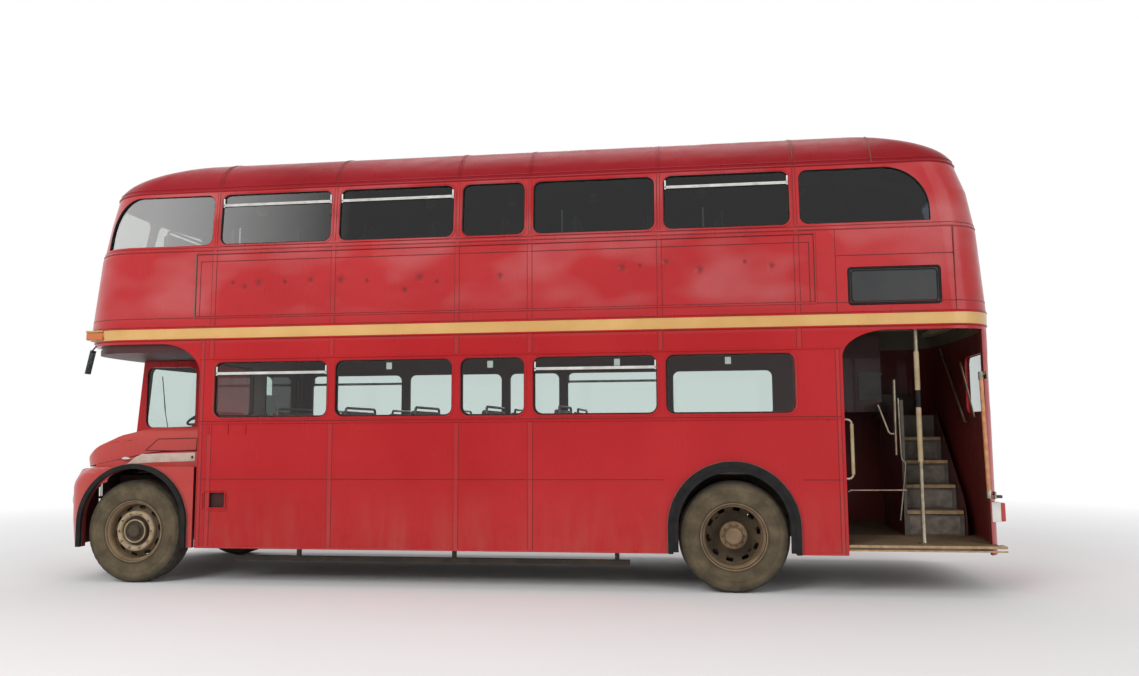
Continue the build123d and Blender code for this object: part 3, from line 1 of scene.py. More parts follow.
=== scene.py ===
# %% [markdown]
# # The looks of a half-cab double decker bus
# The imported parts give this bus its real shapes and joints. This lesson dresses them:
# paint, glass, trim and seats, one piece at a time. Everything is in metres, with X to the
# rear, Y to the driver's side and Z up.

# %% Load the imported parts
import itertools
import math

import bmesh
import bpy
from mathutils import Matrix, Vector


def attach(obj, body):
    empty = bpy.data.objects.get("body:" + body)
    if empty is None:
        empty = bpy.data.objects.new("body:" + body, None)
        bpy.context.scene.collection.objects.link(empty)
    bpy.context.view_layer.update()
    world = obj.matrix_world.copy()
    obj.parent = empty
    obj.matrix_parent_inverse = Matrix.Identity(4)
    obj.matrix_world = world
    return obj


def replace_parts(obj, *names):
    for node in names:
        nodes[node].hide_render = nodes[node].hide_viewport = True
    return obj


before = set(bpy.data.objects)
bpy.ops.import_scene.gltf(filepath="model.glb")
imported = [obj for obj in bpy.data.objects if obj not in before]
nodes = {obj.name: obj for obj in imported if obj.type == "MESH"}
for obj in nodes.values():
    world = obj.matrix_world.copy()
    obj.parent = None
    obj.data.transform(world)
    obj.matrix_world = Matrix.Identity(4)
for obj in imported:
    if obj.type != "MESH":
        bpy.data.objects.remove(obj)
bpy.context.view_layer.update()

SIDES = (-1, 1)  # the nearside and the driver's side
ENDS = (("left", -1), ("right", 1))
UP = (0, 0, 1)

# %% [markdown]
# ## The camera
# The photograph was taken from a standing height, near the side, with a wide lens. Its place
# was solved from the known wheelbase, so the picture and the model can be laid over each other.
# Blender's camera looks down its own -Z, so yaw, pitch and roll are applied in that order.

# %% Camera
CAMERA_AT = (1.819, -9.623, 1.475)
YAW, PITCH, ROLL = -7.708, 5.727, -0.355
SENSOR_MM = 36
LENS_SHARE = 910.53 / 1139  # focal length as a share of the picture's width


def add_object(name, data):
    """Puts a new object with this data into the scene."""
    obj = bpy.data.objects.new(name, data)
    bpy.context.scene.collection.objects.link(obj)
    return obj


def rotation(degrees, axis):
    return Matrix.Rotation(math.radians(degrees), 4, axis)


camera_data = bpy.data.cameras.new("camera")
camera_data.sensor_width = SENSOR_MM
camera_data.lens = SENSOR_MM * LENS_SHARE
camera_data.clip_end = 200
camera = add_object("camera", camera_data)
turned_to = rotation(-YAW, "Z") @ rotation(90 + PITCH, "X") @ rotation(ROLL, "Z")
camera.matrix_world = Matrix.Translation(CAMERA_AT) @ turned_to
bpy.context.scene.camera = camera
print("lens", round(camera_data.lens, 2), "mm")

# %% [markdown]
# ## The body's own curves
# Beads, bands and the roof all lie on the bodywork, so they need to know where its skin is at
# any height. The plan outline is a shallow bow at each end, a round corner and a straight side,
# and it draws in as it rises. One table of heights gives all of it, and heights in between are
# read off by straight lines.

# %% The outline of the body at any height
FRONT_X, REAR_X = -4.545, 4.545
FRONT_AXLE_X, REAR_AXLE_X = -3.683, 2.159
SKIN_HALF = 1.185
DECK_BASE_Z, EAVES_Z, CROWN_Z = 2.350, 3.900, 4.380
FRONT_BOW, REAR_BOW, FRONT_CORNER, REAR_CORNER = 4.03, 9.0, 0.60, 0.38
BULKHEAD_X, PLATFORM_X = FRONT_AXLE_X + 0.660, FRONT_AXLE_X + 6.840
# height, front inset, rear inset, half width
UPPER_SECTIONS = [
    (2.350, 0.055, 0.008, 1.185),
    (2.480, 0.000, 0.000, 1.185),
    (3.250, 0.088, 0.058, 1.180),
    (3.330, 0.112, 0.070, 1.172),
    (3.640, 0.166, 0.122, 1.150),
    (3.900, 0.225, 0.215, 1.127),
]
EAVES_FRONT, EAVES_REAR, EAVES_HALF = UPPER_SECTIONS[-1][1:]


def between(table, key):
    """The table's values at this key, read off by a straight line."""
    key = min(max(key, table[0][0]), table[-1][0])
    for low, high in zip(table, table[1:]):
        if key <= high[0]:
            share = (key - low[0]) / (high[0] - low[0])
            return [a + (b - a) * share for a, b in zip(low[1:], high[1:])]


def end_curve(x_end, way, half, bow, r, steps):
    """Points along one end from the centre line to the straight side, y positive."""
    corner_y = half - r
    reach = math.sqrt((bow - r) ** 2 - corner_y**2)
    swing = math.atan2(corner_y, reach)
    points = []
    for i in range(steps):
        a = swing * i / steps
        points.append((x_end + way * bow * (1 - math.cos(a)), bow * math.sin(a)))
    for i in range(2 * steps + 1):
        a = swing + (math.pi / 2 - swing) * i / (2 * steps)
        points.append((x_end + way * (bow - reach - r * math.cos(a)), corner_y + r * math.sin(a)))
    return points


def ring(z, x_front, x_rear, half, r_front=FRONT_CORNER, r_rear=REAR_CORNER, steps=8):
    """Closed outline at height z, starting at the front and running down the driver's side."""
    front = end_curve(x_front, 1, half, FRONT_BOW, r_front, steps)
    rear = end_curve(x_rear, -1, half, REAR_BOW, r_rear, steps)
    side = front + rear[::-1]
    return [(x, y, z) for x, y in side + [(x, -y) for x, y in side[-2:0:-1]]]


def body_ring(z, out=0.0):
    """Outline of the upper body at height z, this far outside its skin."""
    front, rear, half = between(UPPER_SECTIONS, z)
    return ring(z, FRONT_X + front - out, REAR_X - rear + out, half + out)


def side_half(z):
    """Half the body's width at height z, over the flat side."""
    return SKIN_HALF if z < DECK_BASE_Z else between(UPPER_SECTIONS, z)[2]


def on_side(side, x, z, out=0.0):
    """The point of one side at this length and height, this far outside its skin."""
    return x, side * (side_half(z) + out), z


print("half width at the upper sills", round(side_half(3.33), 3))

# %% [markdown]
# ## A small kit for building meshes
# Most trim is one of three shapes: a round bead along a line, a flat strip between two lines, or
# a block with eased edges. Each helper adds its faces to a plain list, and one call at the
# end turns the list into a piece that rides on a body of the bus. Long lists of points are
# written in millimetres.

# %% Mesh helpers
BOX_FACES = ((0, 1, 3, 2), (4, 6, 7, 5), (0, 4, 5, 1), (2, 3, 7, 6), (0, 2, 6, 4), (1, 5, 7, 3))
MERGE = 0.00001  # points closer than this are one point


def mm(*numbers, per=2):
    """Points from a flat row of millimetres, this many numbers to each."""
    return [tuple(v / 1000 for v in numbers[i:i + per]) for i in range(0, len(numbers), per)]


def circle(steps, start=0.0):
    """Cosine and sine at equal steps round a full turn."""
    angles = [2 * math.pi * (k + start) / steps for k in range(steps)]
    return [(math.cos(t), math.sin(t)) for t in angles]


def steps_between(low, high, count):
    """Numbers from low to high in this many equal steps."""
    return [low + (high - low) * i / count for i in range(count + 1)]


class Shape:
    """Vertices and faces that grow into one piece."""

    def __init__(self):
        self.verts = []
        self.faces = []

    def solid(self, points, faces):
        """Adds points, and faces that number them from 0."""
        start = len(self.verts)
        self.verts += [tuple(p) for p in points]
        self.faces += [tuple(start + v for v in face) for face in faces]

    def grid(self, rows, closed_rows=False, closed_columns=False, caps=()):
        """Faces between rows of points, each row the same length. Caps fill the first row or the last."""
        count, last = len(rows[0]), (len(rows) - 1) * len(rows[0])
        faces = []
        for i in range(len(rows) - (not closed_rows)):
            for j in range(count - (not closed_columns)):
                here, there, right = i * count, (i + 1) % len(rows) * count, (j + 1) % count
                faces.append((here + j, here + right, there + right, there + j))
        if "first" in caps:
            faces.append(range(count - 1, -1, -1))
        if "last" in caps:
            faces.append(range(last, last + count))
        self.solid(itertools.chain(*rows), faces)

    def tube(self, path, radius, sides=8, closed=False):
        """A round bar along a path of points, with flat ends when it is open."""
        path = [Vector(p) for p in path]
        rows = []
        side = None
        for i, p in enumerate(path):
            before = path[i - 1] if (i or closed) else p
            after = path[(i + 1) % len(path)] if (i + 1 < len(path) or closed) else p
            along = (after - before).normalized()
            if side is None:
                side = along.orthogonal().normalized()
            side = (side - along * side.dot(along)).normalized()
            up = along.cross(side)
            rows.append([p + side * c * radius + up * s * radius for c, s in circle(sides)])
        self.grid(rows, closed_rows=closed, closed_columns=True, caps=() if closed else ("first", "last"))

    def block(self, corner, opposite):
        """A box between two opposite corners."""
        self.solid(itertools.product(*map(sorted, zip(corner, opposite))), BOX_FACES)

    def prism(self, loop, back):
        """A plate between two loops of points."""
        count = len(loop)
        walls = [(i, (i + 1) % count, count + (i + 1) % count, count + i) for i in range(count)]
        self.solid(list(loop) + list(back), [range(count), range(2 * count - 1, count - 1, -1)] + walls)

    def loop(self, path, place, radius):
        """A thin bead round a closed path, with each of its points put in place."""
        self.tube([place(a, z) for a, z in path], radius, 6, closed=True)

    def piece(self, name, material, body="body", smooth=40, bevel=0.0, bevel_steps=2):
        """Turns the list into an object with its finish, riding on a body of the bus."""
        mesh = bpy.data.meshes.new(name)
        mesh.from_pydata(self.verts, [], self.faces)
        work = bmesh.new()
        work.from_mesh(mesh)
        bmesh.ops.remove_doubles(work, verts=work.verts, dist=MERGE)
        bmesh.ops.recalc_face_normals(work, faces=work.faces)
        for edge in work.edges:
            if len(edge.link_faces) == 2 and edge.calc_face_angle() > math.radians(smooth):
                edge.smooth = False
        for face in work.faces:
            face.smooth = True
        work.to_mesh(mesh)
        work.free()
        mesh.materials.append(material)
        obj = add_object(name, mesh)
        if bevel:
            ease = obj.modifiers.new("eased edges", "BEVEL")
            ease.width = bevel
            ease.segments = bevel_steps
            ease.limit_method = "ANGLE"
            ease.angle_limit = math.radians(40)
        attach(obj, body)
        return obj


def shapes(count):
    """Several empty shapes at once."""
    return [Shape() for _ in range(count)]


# %% [markdown]
# ## Finishes
# A finish is a small graph of nodes. Each one below starts from a noise or wave texture in
# object space, which needs no unwrapping, and uses it for three things at once: a little change of
# colour, of roughness and of height. That is what keeps paint from looking like plastic.

# %% Helpers for node graphs
class Graph:
    """The nodes of a material or of the world."""

    def __init__(self, owner):
        owner.use_nodes = True
        self.owner = owner
        self.tree = owner.node_tree

    def find(self, kind):
        return next(node for node in self.tree.nodes if node.type == kind)

    def put(self, node, inputs):
        """Sets inputs, each to a number, a vector, a colour or another node's output."""
        for key, value in inputs.items():
            socket = node.inputs[key]
            if isinstance(value, bpy.types.NodeSocket):
                self.tree.links.new(value, socket)
            else:
                socket.default_value = (*value, 1) if socket.type == "RGBA" else value

    def node(self, kind, inputs=(), output=0, **settings):
        """Adds a node and gives one of its outputs."""
        node = self.tree.nodes.new("ShaderNode" + kind)
        for key, value in settings.items():
            setattr(node, key, value)
        self.put(node, dict(inputs))
        return node.outputs[output]

    def paint(self, **inputs):
        """Sets the main shader's inputs, with _ for a space in their names."""
        self.put(self.find("BSDF_PRINCIPLED"), {key.replace("_", " "): v for key, v in inputs.items()})

    def where(self, output="Object"):
        """Where on the bus a point is, or with "Normal" which way it faces."""
        return self.node("TexCoord", output=output)

    def axis(self, number):
        """One coordinate of the point, in metres: 0 for X, 1 for Y, 2 for Z."""
        return self.node("SeparateXYZ", {0: self.where()}, number)

    def noise(self, scale, detail=4.0, stretch=(1, 1, 1)):
        place = self.node("Mapping", {"Vector": self.where(), "Scale": stretch})
        return self.node("TexNoise", {"Vector": place, "Scale": scale, "Detail": detail, "Roughness": 0.55}, "Fac")

    def ramp(self, value, low, high, out_low=0.0, out_high=1.0):
        """Maps value from low..high to out_low..out_high, and holds it there beyond."""
        numbers = {"From Min": low, "From Max": high, "To Min": out_low, "To Max": out_high}
        return self.node("MapRange", {"Value": value, **numbers}, "Result")

    def blend(self, share, first, second):
        """Mixes two colours by share. Each is a colour or an output of another node."""
        return self.node("Mix", {"Factor": share, 6: first, 7: second}, 2, data_type="RGBA")

    def maths(self, operation, *values):
        return self.node("Math", enumerate(values), operation=operation)

    def times(self, *values):
        return self.maths("MULTIPLY", *values)

    def vector(self, operation, *values, output=0):
        return self.node("VectorMath", enumerate(values), output, operation=operation)

    def bump(self, height, distance, strength=1.0):
        inputs = {"Height": height, "Distance": distance, "Strength": strength}
        self.paint(Normal=self.node("Bump", inputs, "Normal"))

    def mix_shaders(self, share, first, second):
        """Ends the graph in a mix of two shaders, in place of the main one."""
        mixed = self.node("MixShader", {"Fac": share, 1: first, 2: second})
        self.put(self.find("OUTPUT_MATERIAL"), {"Surface": mixed})


def new_graph(name):
    return Graph(bpy.data.materials.new(name))


def worn(name, colour, shade, rough, scale, grain, grain_scale=60.0, metallic=0.0, coat=0.0, specular=0.5):
    """A finish of two close colours, patchy roughness and a fine grain."""
    graph = new_graph(name)
    patches = graph.noise(scale, 6.0)
    graph.paint(
        Base_Color=graph.blend(graph.ramp(patches, 0.35, 0.65), colour, shade),
        Roughness=graph.ramp(patches, 0.3, 0.7, rough * 0.85, min(1.0, rough * 1.2)),
        Metallic=metallic,
        Coat_Weight=coat,
        Specular_IOR_Level=specular,
    )
    graph.bump(graph.noise(grain_scale, 5.0), grain)
    return graph.owner


# %% [markdown]
# ## Coach paint
# The bus is brush-painted deep red over aluminium panels that are never quite flat. A slow noise
# gives the panels their waves, a second one fades the colour here and there, and a clear coat
# on top carries the shine. The same panels face the cabin too, so the material looks at which
# way a face points: away from the middle it is red outside paint, and towards the middle it is the
# duller lining; the cream lining of the upper deck is set dark as painted shade. Road dust gathers
# towards the skirt. The upper side also has small dents in its advertisement panel, darkened with
# painted shade, and soft pale patches of painted reflection where it mirrors the sky.

# %% Coach paint and lining
RED, RED_FADED = (0.385, 0.005, 0.008), (0.440, 0.013, 0.016)
ROOF_RED, ROOF_FADED = (0.225, 0.004, 0.008), (0.275, 0.008, 0.014)
# the nose reds are pinker than the body red: partly fade, partly a painted highlight on the bonnet and wing
NOSE_RED, NOSE_FADE_AND_SHEEN = (0.42, 0.030, 0.026), (0.46, 0.075, 0.062)
# the cream lining is set dark: painted shade for the inside of the upper deck
LINING_RED, SHADED_LINING_CREAM = (0.110, 0.016, 0.014), (0.130, 0.110, 0.070)
DUST, PAINTED_SKY_REFLECTION, DENT_PAINTED_SHADE = (0.36, 0.17, 0.12), (0.80, 0.70, 0.70), (0.150, 0.004, 0.006)
DENTS = mm(
    -2703, 2946, -2575, 2902, -2429, 2939, -2157, 2941, -1888, 2953, -1579, 2945, -1314, 2927, -929, 2828,
    -780, 2951, -610, 2898, 10, 2938, 1179, 2981, 1348, 2994, 1591, 3025, 1904, 2940, 2316, 3002, 2559, 2957,
)


def dent_height(graph):
    """Small round hollows in the nearside advertisement panel, 0 on the flat and 1 in a dent."""
    total = None
    for i, (x, z) in enumerate(DENTS):
        away = graph.vector("DISTANCE", graph.where(), (x, -1.183, z), output="Value")
        hollow = graph.ramp(away, 0.0, 0.036 + 0.016 * (i % 3), 1.0, 0.0)
        smooth = graph.times(hollow, hollow)
        total = smooth if total is None else graph.maths("MAXIMUM", total, smooth)
    return total


def coach_paint(name, lining, outside=RED, faded=RED_FADED, dents=False, shine=0.22):
    """Red paint that looks outwards, and a duller lining that looks into the bus."""
    graph = new_graph(name)
    colour = graph.blend(graph.ramp(graph.noise(0.55, 3.0), 0.38, 0.66), outside, faded)
    streaks = graph.noise(6.0, 5.0, (1.2, 1.2, 0.25))
    low_down = graph.ramp(graph.axis(2), 1.0, 0.35)
    colour = graph.blend(graph.times(low_down, graph.ramp(streaks, 0.42, 0.75, 0.04, 0.26)), colour, DUST)
    away = graph.vector("MULTIPLY", graph.where(), (0.55, 1.0, 0.0))
    facing = graph.vector("DOT_PRODUCT", graph.where("Normal"), away, output="Value")
    inward = graph.ramp(facing, -0.30, -0.36)
    peel = graph.times(graph.noise(90.0, 2.0), 0.012)
    waves = graph.maths("ADD", graph.noise(1.7, 2.0, (1.0, 1.0, 1.6)), peel)
    if dents:
        # painted reflection: soft pale patches of sky above the band, in the base colour
        sky_reflection_patches = graph.ramp(graph.noise(0.9, 2.0, (1.0, 1.0, 1.8)), 0.46, 0.62, 0.0, 0.075)
        over_band = graph.ramp(graph.axis(2), 2.55, 2.70)
        colour = graph.blend(graph.times(sky_reflection_patches, over_band), colour, PAINTED_SKY_REFLECTION)
        hollows = dent_height(graph)
        # painted shade: each dent is darkened in colour as well as sunk by the bump
        colour = graph.blend(graph.times(hollows, 0.80), colour, DENT_PAINTED_SHADE)
        waves = graph.maths("SUBTRACT", waves, graph.times(hollows, 0.90))
    graph.bump(waves, 0.035, 0.75)
    rough = graph.ramp(streaks, 0.3, 0.7, 0.24, 0.38)
    graph.paint(
        Base_Color=graph.blend(inward, colour, lining),
        Roughness=graph.maths("ADD", rough, graph.times(inward, 0.25)),
        Specular_IOR_Level=shine,
        Coat_Weight=shine * 0.6,
        Coat_Roughness=0.10,
    )
    return graph.owner


paint_lower = coach_paint("coach_red_lower", LINING_RED)
paint_upper = coach_paint("coach_red_upper", SHADED_LINING_CREAM, dents=True, shine=0.34)
paint_roof = coach_paint("coach_red_roof", SHADED_LINING_CREAM, ROOF_RED, ROOF_FADED, shine=0.12)
paint_nose = coach_paint("coach_red_nose", LINING_RED, NOSE_RED, NOSE_FADE_AND_SHEEN, shine=0.30)

# %% [markdown]
# ## The other finishes
# Chrome and lamps want a clean surface, rubber and tyres a dull one. The band is a buff gold
# enamel, brushed on. The wheels carry dried brown mud, set darker on the slotted disc as painted
# shade deep in the wheel. After its two colours, each finish says
# how rough it is, how fine its patches are and how deep its grain is.

# %% Metals, rubber, wood and cloth
# thin dark lines: painted shadow beside beads and strips, and dark panel joints
seam_dark = worn("seam_shadow", (0.085, 0.008, 0.008), (0.140, 0.013, 0.012), 0.5, 8.0, 0.0004)
gold = worn("gold_band", (0.56, 0.31, 0.085), (0.63, 0.38, 0.125), 0.34, 2.0, 0.0006, 40, coat=0.4)
chrome = worn("bright_metal", (0.72, 0.72, 0.70), (0.55, 0.54, 0.50), 0.16, 8.0, 0.0002, 120, metallic=1.0)
dull_metal = worn("brushed_rail", (0.42, 0.36, 0.27), (0.25, 0.21, 0.15), 0.38, 14.0, 0.0004, metallic=0.9)
brass = worn("brass_back", (0.62, 0.44, 0.14), (0.48, 0.33, 0.10), 0.34, 9.0, 0.0004, metallic=0.6)
copper = worn("copper_rail", (0.62, 0.30, 0.14), (0.42, 0.18, 0.08), 0.42, 18.0, 0.0006, metallic=0.35)
black_rubber = worn("black_rubber", (0.012, 0.012, 0.013), (0.022, 0.021, 0.020), 0.55, 12.0, 0.0006, specular=0.12)
black_paint = worn("black_enamel", (0.014, 0.014, 0.015), (0.03, 0.03, 0.03), 0.35, 6.0, 0.0004, coat=0.3)
chassis_paint = worn("chassis_black", (0.030, 0.026, 0.022), (0.085, 0.062, 0.042), 0.72, 5.0, 0.002)
wheel_mud = worn("muddy_wheel", (0.150, 0.100, 0.056), (0.250, 0.170, 0.095), 0.74, 7.0, 0.0015, 70)
dark_recess = worn("dark_wheel_recess", (0.045, 0.034, 0.023), (0.085, 0.062, 0.040), 0.85, 9.0, 0.0015, 70)
# mud set darker as painted shade: the slotted disc lies deep in the wheel's barrel
disc_mud_and_shade = worn("muddy_disc_painted_shade", (0.062, 0.044, 0.027), (0.120, 0.086, 0.052), 0.8, 8.0, 0.0015, 70)
pale_ring = worn("dusty_guard_ring", (0.40, 0.31, 0.20), (0.26, 0.19, 0.115), 0.7, 16.0, 0.0012, 80)
pale_strip = worn("pale_rubber_strip", (0.60, 0.52, 0.44), (0.48, 0.40, 0.33), 0.6, 10.0, 0.0006)
dusty_edge = worn("dusty_edge", (0.20, 0.14, 0.12), (0.12, 0.07, 0.06), 0.7, 12.0, 0.0005)
cream = worn("cream_enamel", (0.66, 0.56, 0.38), (0.58, 0.48, 0.31), 0.4, 3.0, 0.0005, coat=0.2)
cream_grip = worn("cream_grip", (0.42, 0.32, 0.19), (0.30, 0.22, 0.125), 0.5, 9.0, 0.0006)
white_clip = worn("pale_clip", (0.72, 0.72, 0.70), (0.60, 0.60, 0.58), 0.35, 6.0, 0.0003)
lamp_white = worn("pale_lamp_glass", (0.70, 0.69, 0.62), (0.62, 0.60, 0.52), 0.3, 9.0, 0.0002)
mirror_dark = worn("mirror_silver", (0.16, 0.17, 0.17), (0.10, 0.10, 0.11), 0.12, 6.0, 0.0002, metallic=1.0)
frame_brown = worn("inner_frame", (0.10, 0.04, 0.03), (0.07, 0.03, 0.025), 0.45, 3.0, 0.0004)
# red paint set near black: painted shade for a recess
recess_painted_shade = worn("red_recess_painted_shade", (0.030, 0.006, 0.006), (0.050, 0.012, 0.010), 0.7, 9.0, 0.0006)
lining_red = worn("dark_red_lining", (0.17, 0.022, 0.022), (0.12, 0.018, 0.018), 0.5, 2.0, 0.0005)
red_panel = worn("dark_red_panel", (0.060, 0.007, 0.007), (0.042, 0.006, 0.006), 0.45, 2.0, 0.0005, coat=0.2)
stair_grey = worn("stair_grey", (0.085, 0.072, 0.060), (0.14, 0.12, 0.10), 0.7, 9.0, 0.001)
riser_grey = worn("scuffed_riser", (0.230, 0.195, 0.160), (0.125, 0.105, 0.085), 0.75, 11.0, 0.001)
nosing_brown = worn("nosing_wood", (0.090, 0.056, 0.030), (0.140, 0.090, 0.050), 0.55, 12.0, 0.001)
pale_wood = worn("edge_wood", (0.44, 0.30, 0.155), (0.30, 0.19, 0.10), 0.62, 16.0, 0.0012)
pale_notice = worn("pale_notice", (0.150, 0.145, 0.140), (0.110, 0.108, 0.102), 0.55, 4.0, 0.0004)
dark_board = worn("dark_blind", (0.012, 0.013, 0.014), (0.022, 0.023, 0.024), 0.35, 3.0, 0.0003)
plate_yellow = worn("blank_plate_yellow", (0.72, 0.52, 0.06), (0.62, 0.44, 0.05), 0.4, 5.0, 0.0003)
plate_white = worn("blank_plate_white", (0.74, 0.74, 0.70), (0.64, 0.64, 0.60), 0.4, 5.0, 0.0003)
piping = worn("seat_piping", (0.16, 0.020, 0.018), (0.11, 0.016, 0.014), 0.6, 20.0, 0.0004, 160)
seat_enamel = worn("seat_frame_enamel", (0.10, 0.085, 0.07), (0.15, 0.12, 0.10), 0.4, 8.0, 0.0004, metallic=0.5)
seat_shell = worn("seat_shell_red", (0.13, 0.018, 0.016), (0.09, 0.014, 0.012), 0.5, 6.0, 0.0006)
# painted shade: the cream ceiling of the upper deck is set dark, as it lies in shade
shaded_cabin_ceiling = worn("ceiling_cream_painted_shade", (0.150, 0.140, 0.105), (0.105, 0.098, 0.075), 0.55, 2.5, 0.0006)


def wood_boards(name, dark, light, pitch=0.085):
    """Floor boards that run along the bus, with a dark joint between them."""
    graph = new_graph(name)
    streaks = graph.noise(14.0, 6.0, (0.35, 3.0, 1.0))
    colour = graph.blend(graph.ramp(streaks, 0.35, 0.68), dark, light)
    across = graph.maths("FRACT", graph.maths("DIVIDE", graph.axis(1), pitch))
    joint = graph.maths("LESS_THAN", graph.maths("ABSOLUTE", graph.maths("SUBTRACT", across, 0.5)), 0.06)
    graph.paint(Base_Color=graph.blend(joint, colour, (0.03, 0.02, 0.015)), Roughness=0.62)
    graph.bump(graph.maths("SUBTRACT", graph.times(streaks, 0.3), joint), 0.002)
    return graph.owner


def moquette(name, pitch=0.075):
    """Woven seat cloth: a plain check of dark red, green and buff with a short pile."""
    graph = new_graph(name)
    waves = [graph.maths("SINE", graph.times(graph.axis(i), 2 * math.pi / pitch)) for i in range(3)]
    stripes = [graph.ramp(wave, 0.55, 0.75) for wave in waves]
    sum_of_two = graph.maths("ADD", stripes[0], stripes[1])
    crossing = graph.maths("MINIMUM", graph.maths("ADD", sum_of_two, stripes[2]), 1.0)
    pile = graph.noise(420.0, 2.0)
    base = graph.blend(graph.ramp(graph.noise(3.0), 0.35, 0.65), (0.20, 0.028, 0.022), (0.15, 0.022, 0.020))
    colour = graph.blend(graph.times(crossing, 0.55), base, (0.17, 0.15, 0.055))
    colour = graph.blend(graph.ramp(pile, 0.4, 0.7, 0.0, 0.35), colour, (0.05, 0.012, 0.010))
    graph.paint(Base_Color=colour, Roughness=0.92, Sheen_Weight=0.35)
    graph.bump(pile, 0.0012)
    return graph.owner


floor_boards = wood_boards("floor_boards", (0.050, 0.031, 0.018), (0.115, 0.076, 0.045))
seat_cloth = moquette("seat_moquette")

# %% [markdown]
# ## Glass
# Flat window glass is nearly clear, so a full refraction would only cost time. A mix of a
# see-through shader and a glossy one, weighted by Fresnel, gives the same look: clear from straight
# ahead, and mirror-like at a low angle. Only the side that faces the viewer reflects, or the
# second face of each pane would act as a full mirror. The upper deck's panes are darker towards
# the rear, as they are in the picture: a dark tint that is painted shade. Towards the front they
# have a paler tint and more mirror, a painted reflection.

# %% Window glass and lamp glass
def window_glass(name, tint, share_dull, front_painted_glare=None):
    """A clear pane with smears. With a front tint, the main tint set dark towards the rear is painted shade, and the
    pale front tint with more mirror is a painted reflection.
    """
    graph = new_graph(name)
    fresnel = graph.node("Fresnel", {"IOR": 1.5})
    if front_painted_glare:
        # painted shade and painted reflection: dark tint towards the rear, pale tint towards the front
        tint = graph.blend(graph.ramp(graph.axis(0), -1.65, -2.70), tint, front_painted_glare)
        # painted reflection: more mirror towards the front, at any angle
        fresnel = graph.maths("ADD", fresnel, graph.ramp(graph.axis(0), -1.50, -3.60, 0.0, 0.40))
    clear = graph.node("BsdfTransparent", {"Color": tint})
    smears = graph.ramp(graph.noise(5.0, 4.0), 0.4, 0.7, 0.02, share_dull)
    mirror = graph.node("BsdfGlossy", {"Roughness": smears})
    near_face = graph.maths("SUBTRACT", 1.0, graph.node("NewGeometry", output="Backfacing"))
    graph.mix_shaders(graph.times(fresnel, near_face), clear, mirror)
    graph.tree.nodes.remove(graph.find("BSDF_PRINCIPLED"))
    return graph.owner


def lens(name, colour):
    """Ribbed lamp glass with some depth."""
    graph = new_graph(name)
    ribs = graph.maths("SINE", graph.times(graph.axis(1), 520.0))
    tint = graph.blend(graph.ramp(ribs, -1.0, 1.0), colour, tuple(c * 0.7 for c in colour))
    graph.paint(Base_Color=tint, Roughness=0.12, Coat_Weight=0.8)
    graph.bump(ribs, 0.0012)
    return graph.owner


glass_lower = window_glass("window_glass_lower", (0.86, 0.895, 0.885), 0.06)
glass_upper = window_glass("window_glass_upper", (0.44, 0.475, 0.50), 0.05, (0.86, 0.875, 0.855))
amber = lens("amber_lens", (0.62, 0.14, 0.012))
clear_lens = lens("clear_lens", (0.72, 0.74, 0.74))
red_lens = lens("red_lens", (0.45, 0.01, 0.01))

# %% [markdown]
# ## Dress the imported nodes
# A node keeps its shape and only changes its finish, by a short table of name and material.
# The upper floor shows twice: cream over the saloon, and under the front canopy a dark red darkened with painted
# shade.

# %% Finishes of the imported nodes
deck = new_graph("deck_underside")
stained = deck.blend(deck.ramp(deck.noise(3.0), 0.35, 0.65), (0.60, 0.50, 0.33), (0.50, 0.41, 0.27))
# painted shade: the red under the canopy is set near black
shaded_under_canopy = deck.ramp(deck.axis(0), -2.98, -3.02)
deck.paint(Base_Color=deck.blend(shaded_under_canopy, stained, (0.050, 0.009, 0.009)), Roughness=0.5)
deck.bump(deck.noise(40.0), 0.0005)
NODE_FINISH = {
    paint_lower: "lower_side_near lower_side_off lower_rear cab_shell cab_door",
    paint_upper: "upper_front upper_side_near upper_side_off upper_rear emergency_window",
    lining_red: "front_bulkhead",
    deck.owner: "upper_floor",
    stair_grey: "staircase",
    floor_boards: "lower_floor platform",
    chassis_paint: "underframe engine_and_driveline front_axle rear_axle knuckle_left knuckle_right",
    black_rubber: "arch_rubbers",
    glass_lower: "lower_glass",
    glass_upper: "upper_glass",
    chrome: "grille",
    black_paint: "steering_wheel",
}
for finish, names in NODE_FINISH.items():
    for name in names.split():
        for material_slot in nodes[name].material_slots:
            material_slot.material = finish
print("dressed", sum(len(names.split()) for names in NODE_FINISH.values()), "nodes")

# %% [markdown]
# ## The gold band and the beads
# A flat buff band runs round the bus at the deck line, between two half-round beads. The
# band follows the skin, 3 mm proud. Beads also run along the waist and above the lower windows.

# %% Gold band round the bus
BAND_Z = (2.394, 2.500)
BEAD_R = 0.009

band, beads = shapes(2)
band.grid([body_ring(z, 0.003) for z in steps_between(*BAND_Z, 2)], closed_columns=True)
band.piece("gold_band", gold)
for z in (2.389, 2.506):
    beads.tube(body_ring(z), BEAD_R, closed=True)
print("band drawn at", BAND_Z)

# %% Long beads of the lower side
DOOR_RUN_END = -2.600  # the cab door slides back to here, close to the panel
BEAD_RUNS = ((-1, BULKHEAD_X + 0.004, PLATFORM_X - 0.004), (1, DOOR_RUN_END, REAR_X - 0.46))
for z in (1.555, 2.191):
    for side, x0, x1 in BEAD_RUNS:
        beads.tube([on_side(side, x0, z), on_side(side, x1, z)], BEAD_R)
beads.piece("long_beads", paint_lower)

